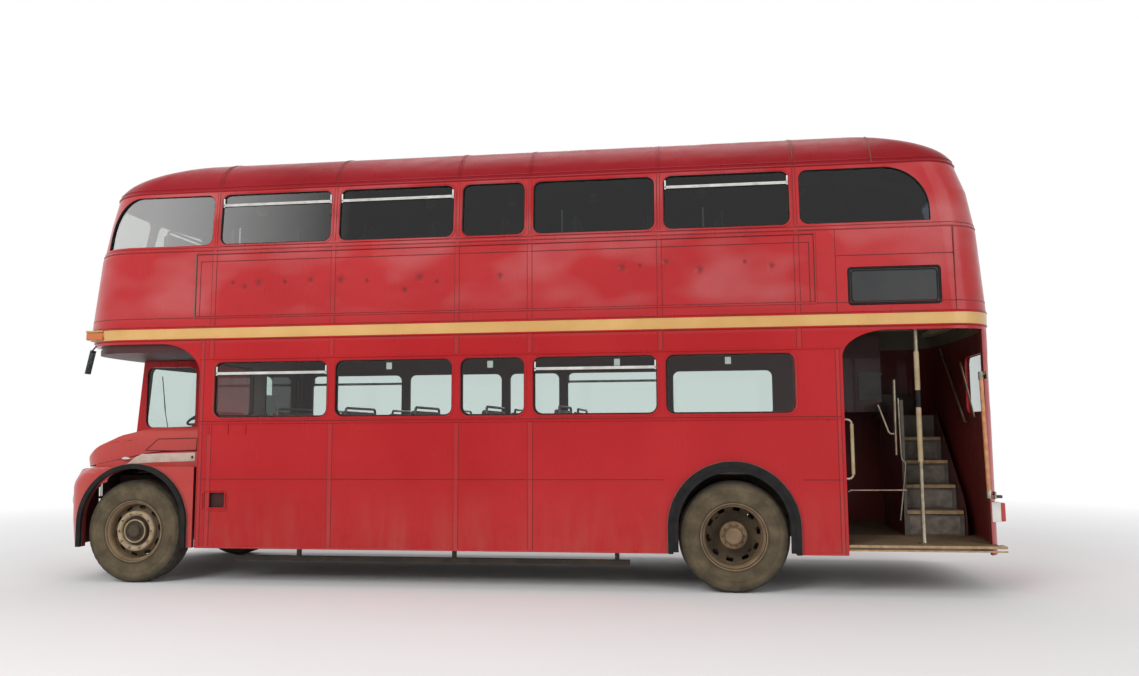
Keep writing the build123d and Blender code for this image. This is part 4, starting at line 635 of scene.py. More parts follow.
# %% [markdown]
# ## Where the skin is
# Frames, seams and lamps need the exact spot on the curved ends and on the roof. Each end is a
# shallow arc that turns into a corner arc, so one short formula tells how far the skin has
# drawn back from the tip at any distance from the middle. The roof is a flat crown arc with
# a tighter shoulder, and both ends draw in as it climbs.

# %% Points on the ends and the roof
CROWN_R, SHOULDER_R, DOME_LONG = 2.65, 0.482, 1.9
CROWN_TOP = CROWN_Z + 0.002
SHOULDER_Y = (EAVES_HALF + 0.0095 - SHOULDER_R) / (1 - SHOULDER_R / CROWN_R)
# height, inset of the nose
NOSE = [(0.35, 0.045), (0.60, 0.015), (1.13, 0.0), (1.48, 0.135), (2.268, 0.200)]
NOSE_BOW, NOSE_CORNER = 6.0, 0.30
LOWER_REAR_INSET = 0.008


def end_reach(y, half, bow, r):
    """How far the outline has drawn back from the end's tip at this y."""
    y = min(abs(y), half)
    corner_y = half - r
    if y <= corner_y * bow / (bow - r):
        return bow - math.sqrt(bow**2 - y**2)
    reach = math.sqrt((bow - r) ** 2 - corner_y**2)
    return bow - reach - math.sqrt(max(r**2 - (y - corner_y) ** 2, 0.0))


def front_x(y, z):
    """X of the upper body's front end."""
    front, _, half = between(UPPER_SECTIONS, z)
    return FRONT_X + front + end_reach(y, half, FRONT_BOW, FRONT_CORNER)


def rear_x(y, z):
    """X of the upper body's rear end."""
    _, rear, half = between(UPPER_SECTIONS, z)
    return REAR_X - rear - end_reach(y, half, REAR_BOW, REAR_CORNER)


def lower_rear_x(y, z=0.0):
    """X of the lower rear wall. It stands upright, so z makes no difference."""
    return REAR_X - LOWER_REAR_INSET - end_reach(y, SKIN_HALF, REAR_BOW, REAR_CORNER)


def nose_x(y, z):
    """X of the lower body's front end."""
    return FRONT_X + between(NOSE, z)[0] + end_reach(y, SKIN_HALF, NOSE_BOW, NOSE_CORNER)


def on_end(skin, out):
    """Puts points (y, z) on the skin of one end, this far along X from it."""
    return lambda y, z: (skin(y, z) + out, y, z)


def by_side(side, out):
    """Puts points (x, z) on one side of the body, this far outside its skin."""
    return lambda x, z: on_side(side, x, z, out)


def roof_half(z):
    """Half the roof's width at height z: on the flat crown arc, or on the tighter shoulder."""
    rise = CROWN_R - (CROWN_TOP - z)
    if rise**2 + SHOULDER_Y**2 >= CROWN_R**2:
        return math.sqrt(CROWN_R**2 - rise**2)
    tilt = SHOULDER_Y / CROWN_R
    centre_y = SHOULDER_Y - SHOULDER_R * tilt
    centre_z = CROWN_TOP - CROWN_R + (CROWN_R - SHOULDER_R) * math.sqrt(1 - tilt**2)
    return centre_y + math.sqrt(SHOULDER_R**2 - (z - centre_z) ** 2)


def roof_plan(z):
    """Front tip, rear tip, half width and both corner radii of the roof at height z."""
    share = (z - EAVES_Z) / (CROWN_TOP - EAVES_Z)
    half = min(roof_half(z), EAVES_HALF)
    draw = DOME_LONG * (1 - math.sqrt(1 - share**2))
    corners = [min(r, 0.75 * half) for r in (FRONT_CORNER, REAR_CORNER)]
    return FRONT_X + EAVES_FRONT + draw, REAR_X - EAVES_REAR - draw, half, *corners


def roof_edge(x, z):
    """Half width of the roof at this x and height, or nothing where it has ended."""
    x_front, x_rear, half, r_front, r_rear = roof_plan(z)

    def inside(y):
        low = x_front + end_reach(y, half, FRONT_BOW, r_front)
        return low <= x <= x_rear - end_reach(y, half, REAR_BOW, r_rear)

    if not inside(0.0):
        return None
    near, far = 0.0, half
    if inside(far):
        return far
    for _ in range(30):
        middle = (near + far) / 2
        near, far = (middle, far) if inside(middle) else (near, middle)
    return near


print("roof half width 0.2 m below the ridge", round(roof_half(4.18), 3))

# %% [markdown]
# ## The roof
# The imported roof is in three plain pieces with flat facets. In its place goes one smooth skin
# with many more levels, still the same curve. A solidify modifier gives it its thickness, and
# its inner side takes the cabin's lining, a cream set dark as painted shade. Raised seams cross it
# where the real panels meet.

# %% Roof skin and its cross seams
ROOF_RISE = CROWN_Z - EAVES_Z
levels = [EAVES_Z + ROOF_RISE * math.sin(t) for t in steps_between(0, math.pi / 2, 34)]
roof = Shape()
roof.grid([ring(z, *roof_plan(z), 10) for z in levels], closed_columns=True, caps=("last",))
roof_skin = roof.piece("roof_skin", paint_roof)
roof_skin.data.materials.append(shaded_cabin_ceiling)
thick = roof_skin.modifiers.new("panel and lining", "SOLIDIFY")
thick.thickness = 0.040
thick.offset = -1
thick.material_offset = 1
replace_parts(roof_skin, "roof_front", "roof_centre", "roof_rear")

SEAMS_X = [FRONT_AXLE_X + x for x in (0.780, 2.022, 3.270, 3.980, 5.210, 6.465)]
LAST_SEAM_X = 3.49


def roof_path(x):
    """Points over the roof from one side to the other at this x."""
    side = []
    for z in levels:
        half = roof_edge(x, z)
        if half is None:
            break
        side.append((x, half, z))
    return side + [(x, -y, z) for x, y, z in side[::-1]]


seams = Shape()
for x in SEAMS_X + [LAST_SEAM_X]:
    seams.tube(roof_path(x), 0.0065, 6)
for x, shift in itertools.product(SEAMS_X, (-0.020, 0.020)):
    seams.tube([(px + shift, y, z) for px, y, z in roof_path(x)], 0.0035, 5)
for z, r in ((3.905, 0.012), (3.948, 0.006)):
    seams.tube(ring(z, *roof_plan(z)), r, 6, closed=True)
seams.piece("roof_seams_and_gutter", paint_roof)
print("roof of", len(roof.faces), "faces and", len(SEAMS_X) + 1, "seams")

# %% [markdown]
# ## Panel seams and rivets
# Upright cover strips hide the joints between the panels. Each is a thin flat strip with a
# dark bead down both edges, a painted shadow, and it follows the side as it leans in. Small domed
# rivets hold it. The upper side also carries the empty frame for an advertisement, as raised
# moulding. Thin dark lines beside the beads and the moulding are painted shadow too; the others are joints.

# %% Cover strips, rivets and the advertisement frame
STRIP_BENDS = (2.50, 3.25, 3.33, 3.64)
STRIP_SECTION = ((-1, -0.002), (-1, 0.0022), (1, 0.0022), (1, -0.002))
ARCH_CLEAR = 0.62  # the joints stop this far from the rear axle
strips, joints, rivets = shapes(3)


def dome(shape, at, normal, radius, height):
    """A low round head on a surface."""
    at, normal = Vector(at), Vector(normal).normalized()
    one = normal.orthogonal().normalized()
    two = normal.cross(one)
    rows = []
    for share, rise in ((1.0, 0.0), (0.75, 0.7), (0.3, 1.0)):
        rows.append([at + (one * c + two * s) * radius * share + normal * height * rise for c, s in circle(8)])
    shape.grid(rows, closed_columns=True, caps=("last",))


def spaced(low, high, pitch):
    """Middles of equal steps from low to high, about this far apart."""
    count = max(1, round((high - low) / pitch))
    return [low + (high - low) * (i + 0.5) / count for i in range(count)]


def rivet(side, x, z, out, radius):
    """One small round head on a side."""
    dome(rivets, on_side(side, x, z, out), (0, side, 0), radius, 0.003)


def joint(side, path, radius=0.0038, out=0.0):
    """A thin dark line along points (x, z) of one side: a joint, or a painted shadow beside a raised part."""
    joints.tube([on_side(side, x, z, out) for x, z in path], radius, 6)


def cover_strip(side, x, z0, z1, half_width=0.022, pitch=0.16):
    """An upright strip, a painted shadow line down both its edges and a row of rivets."""
    heights = [z0] + [z for z in STRIP_BENDS if z0 < z < z1] + [z1]
    strips.grid([[on_side(side, x + a * half_width, z, out) for a, out in STRIP_SECTION] for z in heights])
    for a in (-1, 1):
        joint(side, [(x + a * half_width, z) for z in heights], 0.0034, 0.0005)
    for z in spaced(z0, z1, pitch):
        rivet(side, x, z, 0.002, 0.0065)


for side in SIDES:
    for x in SEAMS_X:
        lower_end = PLATFORM_X if side < 0 else REAR_X - 0.5
        if x < lower_end and abs(x - REAR_AXLE_X) > 0.65:
            cover_strip(side, x, 0.362, 1.545)
        cover_strip(side, x, 2.20, 2.386, pitch=0.09)
        cover_strip(side, x, 2.512, 3.305)
        cover_strip(side, x, 3.34, 3.888, 0.012)
    x_end = PLATFORM_X - 0.02 if side < 0 else REAR_X - 0.46
    joint(side, [(BULKHEAD_X + 0.01, 1.012), (REAR_AXLE_X - ARCH_CLEAR, 1.012)])
    joint(side, [(REAR_AXLE_X + ARCH_CLEAR, 1.012), (x_end, 1.012)])
    joint(side, [(BULKHEAD_X + 0.01, 1.575), (x_end, 1.575)])
    for x0, x1 in ((BULKHEAD_X + 0.02, REAR_AXLE_X - 0.60), (REAR_AXLE_X + 0.60, x_end)):
        strips.tube([on_side(side, x0, 0.358), on_side(side, x1, 0.358)], BEAD_R)
        for x in spaced(x0, x1, 0.21):
            rivet(side, x, 0.385, 0.001, 0.006)
    for z in (1.540, 2.206):
        for x in spaced(BULKHEAD_X + 0.05, x_end - 0.05, 0.155):
            rivet(side, x, z, 0.0005, 0.0055)
    cover_strip(side, BULKHEAD_X + 0.030, 0.362, 2.38, 0.016, 0.2)
    if side < 0:
        cover_strip(side, PLATFORM_X - 0.045, 0.362, 2.18, 0.016, 0.2)

ADVERT_X, ADVERT_Z = (FRONT_AXLE_X + 0.580, FRONT_AXLE_X + 6.630), (2.604, 3.252)
advert = [(ADVERT_X[i], ADVERT_Z[j]) for i, j in ((0, 0), (1, 0), (1, 1), (0, 1))]
for side in SIDES:
    for (x0, z0), (x1, z1) in zip(advert, advert[1:] + advert[:1]):
        path = list(zip(steps_between(x0, x1, 4), steps_between(z0, z1, 4)))
        strips.tube([on_side(side, x, z, 0.003) for x, z in path], BEAD_R, 6)
        # the painted shadow line lies 12 mm inside the moulding
        dx, dz = (0, math.copysign(0.012, 3 - z0)) if z0 == z1 else (math.copysign(0.012, -x0), 0)
        joints.tube([(x + dx, side * (side_half(z) + 0.001), z + dz) for x, z in path], 0.0035, 6)
    joint(side, [(ADVERT_X[0] + 0.05, 3.169), (ADVERT_X[1] - 0.05, 3.169)], 0.004)
    for x in (ADVERT_X[0] + 0.055, ADVERT_X[1] - 0.055):
        joint(side, [(x, z) for z in (2.62, 2.90, 3.168)], 0.004)
    for x in spaced(ADVERT_X[0] + 0.1, ADVERT_X[1] - 0.1, 0.31):
        for z in (2.617, 3.210):
            rivet(side, x, z, 0.001, 0.006)
deck_line = Shape()
deck_line.tube(body_ring(3.292), 0.007, 6, closed=True)
deck_line.piece("deck_line_beads", paint_upper)
# painted shadow lines just above and below the beads and the band
for z, r in ((2.604, 0.0035), (3.279, 0.003), (3.318, 0.0035), (2.517, 0.003), (2.378, 0.003)):
    joints.tube(body_ring(z), r, 6, closed=True)
for x in (3.126, 4.160):
    joint(-1, [(x, z) for z in (2.52, 2.9, 3.28)])
joint(-1, [(3.126, 3.035), (4.160, 3.035)])
joints.piece("panel_joints_and_shadow_lines", seam_dark)
strips.piece("cover_strips", paint_upper)
rivets.piece("rivet_heads", paint_upper)
print("strips", len(strips.faces), "faces, rivets", len(rivets.faces) // 17)

# %% [markdown]
# ## Window rubbers and vents
# Every pane sits in a black rubber, drawn as a round bead along the edge of its opening. Some side
# windows have a vent at the top: a bright bar with a pale clip at either end. The end windows
# of the upper sides curve up to the dome, so their path is an arc, two round corners and lines.

# %% Rubbers round the windows
def rounded_path(x0, x1, z0, z1, r, inset=0.0):
    """A rectangle with round corners, drawn in by inset, as a closed path of (across, up)."""
    lows, highs = (x0 + inset + r, z0 + inset + r), (x1 - inset - r, z1 - inset - r)
    path = []
    for quarter, (cx, cz) in enumerate((highs, (lows[0], highs[1]), lows, (highs[0], lows[1]))):
        for i in range(6):
            t = math.pi / 2 * (quarter + i / 5)
            path.append((cx + r * math.cos(t), cz + r * math.sin(t)))
    return path


def through(p0, p1, p2, steps=12):
    """Points along the arc through three points."""
    (ax, az), (bx, bz), (cx, cz) = p0, p1, p2
    aa, bb, cc = ax**2 + az**2, bx**2 + bz**2, cx**2 + cz**2
    d = 2 * (ax * (bz - cz) + bx * (cz - az) + cx * (az - bz))
    ux = (aa * (bz - cz) + bb * (cz - az) + cc * (az - bz)) / d
    uz = (aa * (cx - bx) + bb * (ax - cx) + cc * (bx - ax)) / d
    r = math.hypot(ax - ux, az - uz)
    start, end = math.atan2(az - uz, ax - ux), math.atan2(cz - uz, cx - ux)
    sweep = (end - start + math.pi) % (2 * math.pi) - math.pi
    return [(ux + r * math.cos(t), uz + r * math.sin(t)) for t in steps_between(start, start + sweep, steps)]


LOWER_PANE_Z, UPPER_PANE_Z = (1.612, 2.156), (3.340, 3.862)
WINDOW_W, SHORT_W, WINDOW_GAP = 1.16325, 0.617, 0.083
PANE_R, RUBBER_R = 0.08, 0.0085
BAYS = []
bay_x = FRONT_AXLE_X + 0.820
for width in (WINDOW_W, WINDOW_W, SHORT_W, WINDOW_W, WINDOW_W):
    BAYS.append((bay_x, bay_x + width))
    bay_x += width + WINDOW_GAP


def end_window_path(x_square, x_sill, x_head):
    """The curved edge of an end window of the upper side, then its two square corners."""
    way = 1 if x_square > x_sill else -1
    z0, z1 = UPPER_PANE_Z
    path = through((x_sill, z0 + 0.120), (x_sill + way * 0.090, z1 - 0.150), (x_head, z1))
    for cz, start in ((z1 - PANE_R, math.pi / 2), (z0 + PANE_R, 0.0)):
        for t in steps_between(start, start - math.pi / 2, 5):
            path.append((x_square - way * PANE_R * (1 - math.cos(t)), cz + PANE_R * math.sin(t)))
    return path + [(x_sill, z0)]


def side_depth(x, z):
    """How far in from the flat side the skin is, near the round corners of the deck."""
    half = side_half(z)
    for past, r in ((front_x(half, z) - x, FRONT_CORNER), (x - rear_x(half, z), REAR_CORNER)):
        if past > 0:
            return r - math.sqrt(max(r**2 - past**2, 0.0))
    return 0.0


FRONT_SIDE = end_window_path(-2.9445, FRONT_AXLE_X - 0.460, FRONT_AXLE_X - 0.110)
REAR_SIDE = end_window_path(2.8235, REAR_X - 0.568, REAR_X - 0.938)
rubbers, inner_frames, window_beads = shapes(3)
for side in SIDES:
    for bay, heights in itertools.product(BAYS, (LOWER_PANE_Z, UPPER_PANE_Z)):
        pane = (*bay, *heights)
        rubbers.loop(rounded_path(*pane, PANE_R), by_side(side, -0.010), 0.0095)
        if side < 0 or bay[0] > DOOR_RUN_END or heights == UPPER_PANE_Z:
            window_beads.loop(rounded_path(*pane, 0.09, -0.013), by_side(side, 0.0005), 0.0065)
        inner_frames.loop(rounded_path(*pane, PANE_R, 0.004), by_side(side, -0.045), 0.010)
    for path in (FRONT_SIDE, REAR_SIDE):
        rubbers.loop(path, lambda x, z: on_side(side, x, z, -side_depth(x, z) - 0.012), RUBBER_R)
for y0, y1 in ((-0.860, -0.048), (0.048, 0.860)):
    rubbers.loop(rounded_path(y0, y1, *UPPER_PANE_Z, 0.09), on_end(front_x, 0.012), RUBBER_R)
rubbers.loop(rounded_path(-0.960, -0.170, *LOWER_PANE_Z, PANE_R), on_end(lower_rear_x, -0.012), RUBBER_R)
rubbers.loop(rounded_path(0.070, 1.040, 1.520, 2.200, PANE_R), on_end(nose_x, 0.012), RUBBER_R)
for x, way in itertools.product((BULKHEAD_X + 0.002, BULKHEAD_X + 0.043), SIDES):
    rubbers.loop(rounded_path(0.150, 1.040, 1.642, 2.156, PANE_R), lambda y, z: (x, way * y, z), 0.0080)
rubbers.piece("window_rubbers", black_rubber)
window_beads.piece("window_beads", paint_upper)
inner_frames.piece("window_frames_inside", frame_brown)

# %% Vents at the heads of some side windows
vents, clips = shapes(2)
for side in SIDES:
    for head, picks in ((LOWER_PANE_Z[1], (0, 3)), (UPPER_PANE_Z[1], (0, 1, 4))):
        for x0, x1 in [BAYS[i] for i in picks]:
            z = head - 0.112
            y = side_half(z) - 0.008
            for dz, r in ((0.010, 0.006), (-0.008, 0.0075)):
                vents.tube([(x0 + 0.012, side * y, z + dz), (x1 - 0.012, side * y, z + dz)], r)
            inner, outer = side * (y - 0.004), side * (y + 0.006)
            vents.block((x0 + 0.012, inner, z - 0.009), (x1 - 0.012, outer, z + 0.011))
            for x, way in ((x0 + 0.010, 1), (x1 - 0.010, -1)):
                clips.block((x, inner, z - 0.02), (x + way * 0.014, outer, head - 0.045))
            for share in (0.25, 0.75):
                x = x0 + (x1 - x0) * share
                vents.block((x - 0.016, inner, z - 0.004), (x + 0.016, side * (y + 0.012), z + 0.006))
vents.piece("vent_bars", chrome, bevel=0.0015)
clips.piece("vent_clips", white_clip, bevel=0.0015)
print("rubbers", len(rubbers.faces), "faces")

# %% [markdown]
# ## Blank blind boxes and plates
# The boxes that held the route blinds are recessed into the panels. Each gets a dark, empty
# board behind a black rim. The number plates are empty too, and so are the labels in the windows.

# %% Blind boards and plates
BLIND_RIMS = ((0.012, 0.009), (0.034, 0.005))  # inset from the opening, and thickness
BOARD_INSET, BLIND_R = 0.01, 0.03
SIDE_BLIND = (REAR_X - 1.318, REAR_X - 0.503, 2.575, 2.927)
END_BLINDS = ((-0.52, 0.52, 2.640, 3.060, front_x, 1), (-0.70, -0.10, 2.640, 2.990, rear_x, -1))
boards, rims, front_plate, rear_plates, labels = shapes(5)

x0, x1, z0, z1 = (v + way * BOARD_INSET for v, way in zip(SIDE_BLIND, (1, -1, 1, -1)))
corners = [Vector(on_side(-1, x, z, -0.012)) for x, z in ((x0, z0), (x1, z0), (x1, z1), (x0, z1))]
outward = (corners[1] - corners[0]).cross(corners[3] - corners[0]).normalized() * 0.003
boards.prism(corners, [corner + outward for corner in corners])
for inset, r in BLIND_RIMS:
    rims.loop(rounded_path(*SIDE_BLIND, BLIND_R, inset), by_side(-1, -0.006), r)
for y0, y1, z0, z1, skin, way in END_BLINDS:
    place = on_end(skin, way * 0.011)
    heights = steps_between(z0 + BOARD_INSET, z1 - BOARD_INSET, 2)
    boards.grid([[place(y, z) for z in heights] for y in steps_between(y0 + BOARD_INSET, y1 - BOARD_INSET, 8)])
    for inset, r in BLIND_RIMS:
        path = rounded_path(y0, y1, z0, z1, BLIND_R, inset)
        dense = []
        for (a, c), (b, d) in zip(path, path[1:] + path[:1]):
            parts = 6 if abs(b - a) > 0.2 else 1
            dense += [(a + (b - a) * k / parts, c + (d - c) * k / parts) for k in range(parts)]
        rims.loop(dense, on_end(skin, way * 0.006), r)
boards.piece("blank_blind_boards", dark_board)
rims.piece("blind_rims", black_rubber)

x = nose_x(0.0, 0.48) - 0.009
front_plate.block((x, -0.27, 0.365), (x + 0.006, 0.27, 0.475))
front_plate.piece("blank_front_plate", plate_white, bevel=0.002)
x = lower_rear_x(-0.30)
rear_plates.block((x + 0.002, -0.60, 0.60), (x + 0.010, -0.20, 0.80))
x = lower_rear_x(0.72)
rear_plates.block((x + 0.002, 0.60, 0.62), (x + 0.009, 0.76, 0.78))
rear_plates.piece("blank_rear_plates", plate_yellow, bevel=0.002)
for x in (-1.087, -0.091, 1.119, 2.141):
    labels.block((x - 0.027, -1.1565, 2.064), (x + 0.027, -1.155, 2.128))
labels.piece("blank_window_labels", plate_white)
print("three blank boards, two plates")

# %% [markdown]
# ## Tyres
# A tyre is a turned shape: one section swept round the axle. The section has the bead, the
# bulging wall with its raised rings, a notched shoulder and four grooves in the tread. The
# grooves weave a little from one step of the sweep to the next, which makes the zigzag ribs.
# Its finish knows the distance from the axle, because mud dries pale on the wall and wears
# off the tread. Turned parts are given as pairs: how far out along the axle, and the radius.

# %% Tyres with ribs, grooves and wall rings
HUB_Z, TYRE_R, GROOVE_R, TYRE_STEPS = 0.5, 0.5, 0.489, 132
# distance in from the face, radius
TYRE_WALL = mm(
    32, 279, 16, 286, 10, 300, 5.5, 306, 3, 313, 5, 320, 1.5, 345, 0, 378, 1.2, 402, 4.2, 407, 1.2, 412,
    5, 436, 10.5, 457, 13.5, 468, 12, 473, 17, 480,
)
# distance along the tread, radius
GROOVE = ((-0.0055, TYRE_R), (-0.0035, GROOVE_R), (0.0035, GROOVE_R), (0.0055, TYRE_R))
GROOVE_PITCH, WEAVE, NOTCH = 0.040, 0.004, 0.007
TYRES = (
    ("front", "tyre", FRONT_AXLE_X, ((1.030, 0.26),)),
    ("rear", "tyres", REAR_AXLE_X, ((1.035, 0.25), (0.745, 0.25))),
)


def turned(shape, profile, centre, out, sides=64, closed=False):
    """A turned part: the profile is (distance along out, radius) from the centre."""
    centre, out = Vector(centre), Vector(out).normalized()
    one = out.orthogonal().normalized()
    two = out.cross(one)
    rows = []
    for k, (c, s) in enumerate(circle(sides)):
        spoke = one * c + two * s
        points = profile(k) if callable(profile) else profile
        rows.append([centre + out * d + spoke * r for d, r in points])
    shape.grid(rows, closed_rows=True, closed_columns=closed)


def tyre_section(middle, width):
    """Gives the section at each step of the sweep, from the inner bead to the outer one."""
    face = width / 2

    def at_step(k):
        notch = NOTCH if k % 3 == 0 else 0.0
        weave = WEAVE if k % 4 < 2 else -WEAVE
        wall = TYRE_WALL + [(0.024, 0.4870 - notch), (0.034, 0.4945 - notch), (0.044, 0.4985)]
        inner, outer = ([(middle + way * (face - deep), r) for deep, r in wall] for way in SIDES)
        tread = []
        for i in range(4):
            tread += [(middle + (i - 1.5) * GROOVE_PITCH + weave + across, r) for across, r in GROOVE]
        return inner + tread + outer[::-1]

    return at_step


def tyre_finish(name, axle_x):
    """Dried mud that is pale on the wall and worn off towards the tread and the rim."""
    graph = new_graph(name)
    away = graph.vector("SUBTRACT", graph.where(), (axle_x, 0, HUB_Z))
    radius = graph.vector("LENGTH", graph.vector("MULTIPLY", away, (1, 0, 1)), output="Value")
    clods = graph.noise(6.0, 6.0)
    mud = graph.blend(graph.ramp(clods, 0.36, 0.62), (0.125, 0.095, 0.054), (0.070, 0.054, 0.032))
    worn_off = graph.maths("MAXIMUM", graph.ramp(radius, 0.435, 0.488), graph.ramp(radius, 0.325, 0.300))
    patchy = graph.times(worn_off, graph.ramp(graph.noise(16.0), 0.25, 0.60, 0.55, 1.0))
    rough = graph.ramp(clods, 0.3, 0.7, 0.78, 0.95)
    graph.paint(Base_Color=graph.blend(patchy, mud, (0.028, 0.024, 0.018)), Roughness=rough)
    rings = graph.maths("SINE", graph.times(radius, 900.0))
    graph.bump(graph.maths("ADD", graph.noise(55.0, 6.0), graph.times(rings, 0.06)), 0.004)
    return graph.owner


tyre_mud = {axle: tyre_finish(f"{axle}_tyre_mud", x) for axle, _, x, _ in TYRES}
for (end, side), (axle, node, x, pair) in itertools.product(ENDS, TYRES):
    tyre = Shape()
    for middle, width in pair:
        turned(tyre, tyre_section(middle, width), (x, 0, HUB_Z), (0, side, 0), TYRE_STEPS, closed=True)
    node = f"{axle}_{end}_{node}"
    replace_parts(tyre.piece(node + "_ribbed", tyre_mud[axle], f"wheel_{axle}_{end}", smooth=50), node)
print("each tyre has", len(tyre_section(1.03, 0.26)(0)) * TYRE_STEPS, "faces")

# %% [markdown]
# ## Wheels
# Each wheel is a rolled barrel with a pressed disc in it. Ten rounded slots lie round the
# disc. A slot is made by joining a wedge of the disc to a rounded loop inside it, point for
# point, and then folding the loop inwards to give the metal its thickness. The front wheel wears
# a raised ring over its nuts. The rear disc is dished deep, and its hub carries ten studs.
# One table holds every piece of a wheel: its finish, its slots, its nuts and its turned parts.

# %% Barrel, slotted disc and hub of each wheel
SLOTS, SLOT_LONG, SLOT_HIGH, SLOT_R, DISC_THICK = 10, 0.035, 0.017, 0.232, 0.012
# name and finish; slots as (inner radius, its y, outer radius, its y); nuts as (y, ring's radius,
# count, size, height); turned parts as (steps round, profile)
FRONT_WHEEL = (
    ("slotted_disc", disc_mud_and_shade, (0.206, 1.082, 0.258, 1.055), None, (
        (96, mm(1082, 206, 1088, 198, 1092, 150, 1080, 142, 1078, 118)),
    )),
    ("wheel_disc", wheel_mud, None, (1.112, 0.171, 10, 0.015, 0.016), (
        (96, mm(905, 288, 906, 302, 914, 302, 924, 280, 945, 264, 1050, 262.5, 1110, 262.5, 1128, 268, 1140, 280,
                1147, 292, 1151, 301, 1156.5, 301.5, 1158.5, 298, 1155, 291)),
        (96, mm(1052, 262.5, 1056, 256)),
    )),
    ("nut_guard", pale_ring, None, None, (
        (96, mm(1086, 197, 1112, 198, 1124, 192, 1129, 180, 1127, 163, 1118, 150, 1098, 144, 1080, 144)),
        (72, mm(1130, 115.5, 1137, 112, 1137, 104, 1130, 100)),
    )),
    ("hub_face", dark_recess, None, (1.120, 0.081, 8, 0.008, 0.006), (
        (72, mm(1078, 140, 1074, 118, 1128, 114.5, 1131, 98, 1122, 92, 1116, 70, 1120, 63, 1146, 61, 1158, 54,
                1164, 40, 1166, 22, 1166.5, 0)),
        (72, mm(925, 226, 925, 240, 1030, 240, 1040, 232, 1040, 100, 1026, 100, 1026, 226, 925, 226)),
    )),
)
REAR_WHEEL = (
    ("slotted_disc", disc_mud_and_shade, (0.204, 0.914, 0.258, 0.944), None, (
        (96, mm(914, 204, 906, 180, 904, 126)),
        (72, mm(640, 80, 640, 200, 825, 200, 832, 126.5, 890, 126)),
    )),
    ("wheel_disc", wheel_mud, None, None, (
        (96, mm(914, 302, 924, 280, 940, 262.5, 1085, 262.5, 1112, 266, 1130, 276, 1143, 290, 1150, 301,
                1156, 302, 1158.5, 298, 1155, 290)),
        (96, mm(866, 302, 856, 280, 840, 262.5, 650, 262.5, 634, 280, 624, 301)),
        (96, mm(946, 262.5, 944, 258)),
    )),
    ("hub_and_drum", wheel_mud, None, (1.040, 0.1045, 10, 0.0115, 0.014), (
        (80, mm(890, 124, 900, 125.5, 1026, 125, 1036, 122, 1040, 116, 1040, 90, 1046, 86, 1082, 78, 1110, 75,
                1117, 68, 1119, 50, 1114, 34, 1116, 16, 1117, 0)),
    )),
)
WHEELS = (("front", FRONT_AXLE_X, "rim", FRONT_WHEEL), ("rear", REAR_AXLE_X, "rims", REAR_WHEEL))


def signed_power(value, power):
    """A power that keeps the value's sign."""
    return math.copysign(abs(value) ** power, value)


def slotted_band(shape, x, side, r_in, y_in, r_out, y_out):
    """The cone between two radii, with a ring of rounded slots through it."""
    half, wide = math.pi / SLOTS, r_out - r_in
    across = steps_between(-half, half, 6)
    loop = [(a, r_in) for a in across] + [(half, r_in + wide * i / 3) for i in (1, 2)]
    loop += [(a, r_out) for a in across[::-1]] + [(-half, r_out - wide * i / 3) for i in (1, 2)]
    for n in range(SLOTS):
        turn = 2 * math.pi * (n + 0.25) / SLOTS
        rows = [[], [], []]
        for a, r in loop:
            t = math.atan2((r - SLOT_R) / (wide / 2), a / half)
            hole_a = signed_power(math.cos(t), 0.6) * SLOT_LONG / SLOT_R
            hole_r = SLOT_R + signed_power(math.sin(t), 0.6) * SLOT_HIGH
            points = ((a, r, 0.0), (hole_a, hole_r, 0.0), (hole_a, hole_r, DISC_THICK))
            for row, (angle, radius, sunk) in zip(rows, points):
                y = y_in + (y_out - y_in) * (radius - r_in) / wide - sunk
                angle += turn
                row.append((x + radius * math.sin(angle), side * y, HUB_Z + radius * math.cos(angle)))
        shape.grid(rows, closed_columns=True)


def hex_nuts(shape, x, side, y, ring_r, count, size, height):
    """A ring of nuts: each is a six-sided head with a round stud in it."""
    head = [(0, size), (height * 0.8, size), (height, size * 0.8), (height, 0.0)]
    stud = [(0, size * 0.5), (height * 1.7, size * 0.5), (height * 1.8, size * 0.35), (height * 1.8, 0.0)]
    for c, s in circle(count, 0.5):
        at = (x + ring_r * s, side * y, HUB_Z + ring_r * c)
        turned(shape, head, at, (0, side, 0), 6)
        turned(shape, stud, at, (0, side, 0), 8)


for (end, side), (axle, x, node, wheel) in itertools.product(ENDS, WHEELS):
    for name, finish, slots, nuts, profiles in wheel:
        shape = Shape()
        if slots:
            slotted_band(shape, x, side, *slots)
        for steps, profile in profiles:
            turned(shape, profile, (x, 0, HUB_Z), (0, side, 0), steps)
        if nuts:
            hex_nuts(shape, x, side, *nuts)
        made = shape.piece(f"{axle}_{end}_{name}", finish, f"wheel_{axle}_{end}", smooth=50)
        if name == "wheel_disc":
            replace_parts(made, f"{axle}_{end}_{node}")
print("slots per wheel", SLOTS)

# %% [markdown]
# ## Lamps
# Each lamp is a bright bezel with a glass set in it, both turned round a line that points out
# of the bodywork. The headlamp glass is ribbed and slightly domed. The indicators on the
# corners are amber boxes with a brass back and lid.

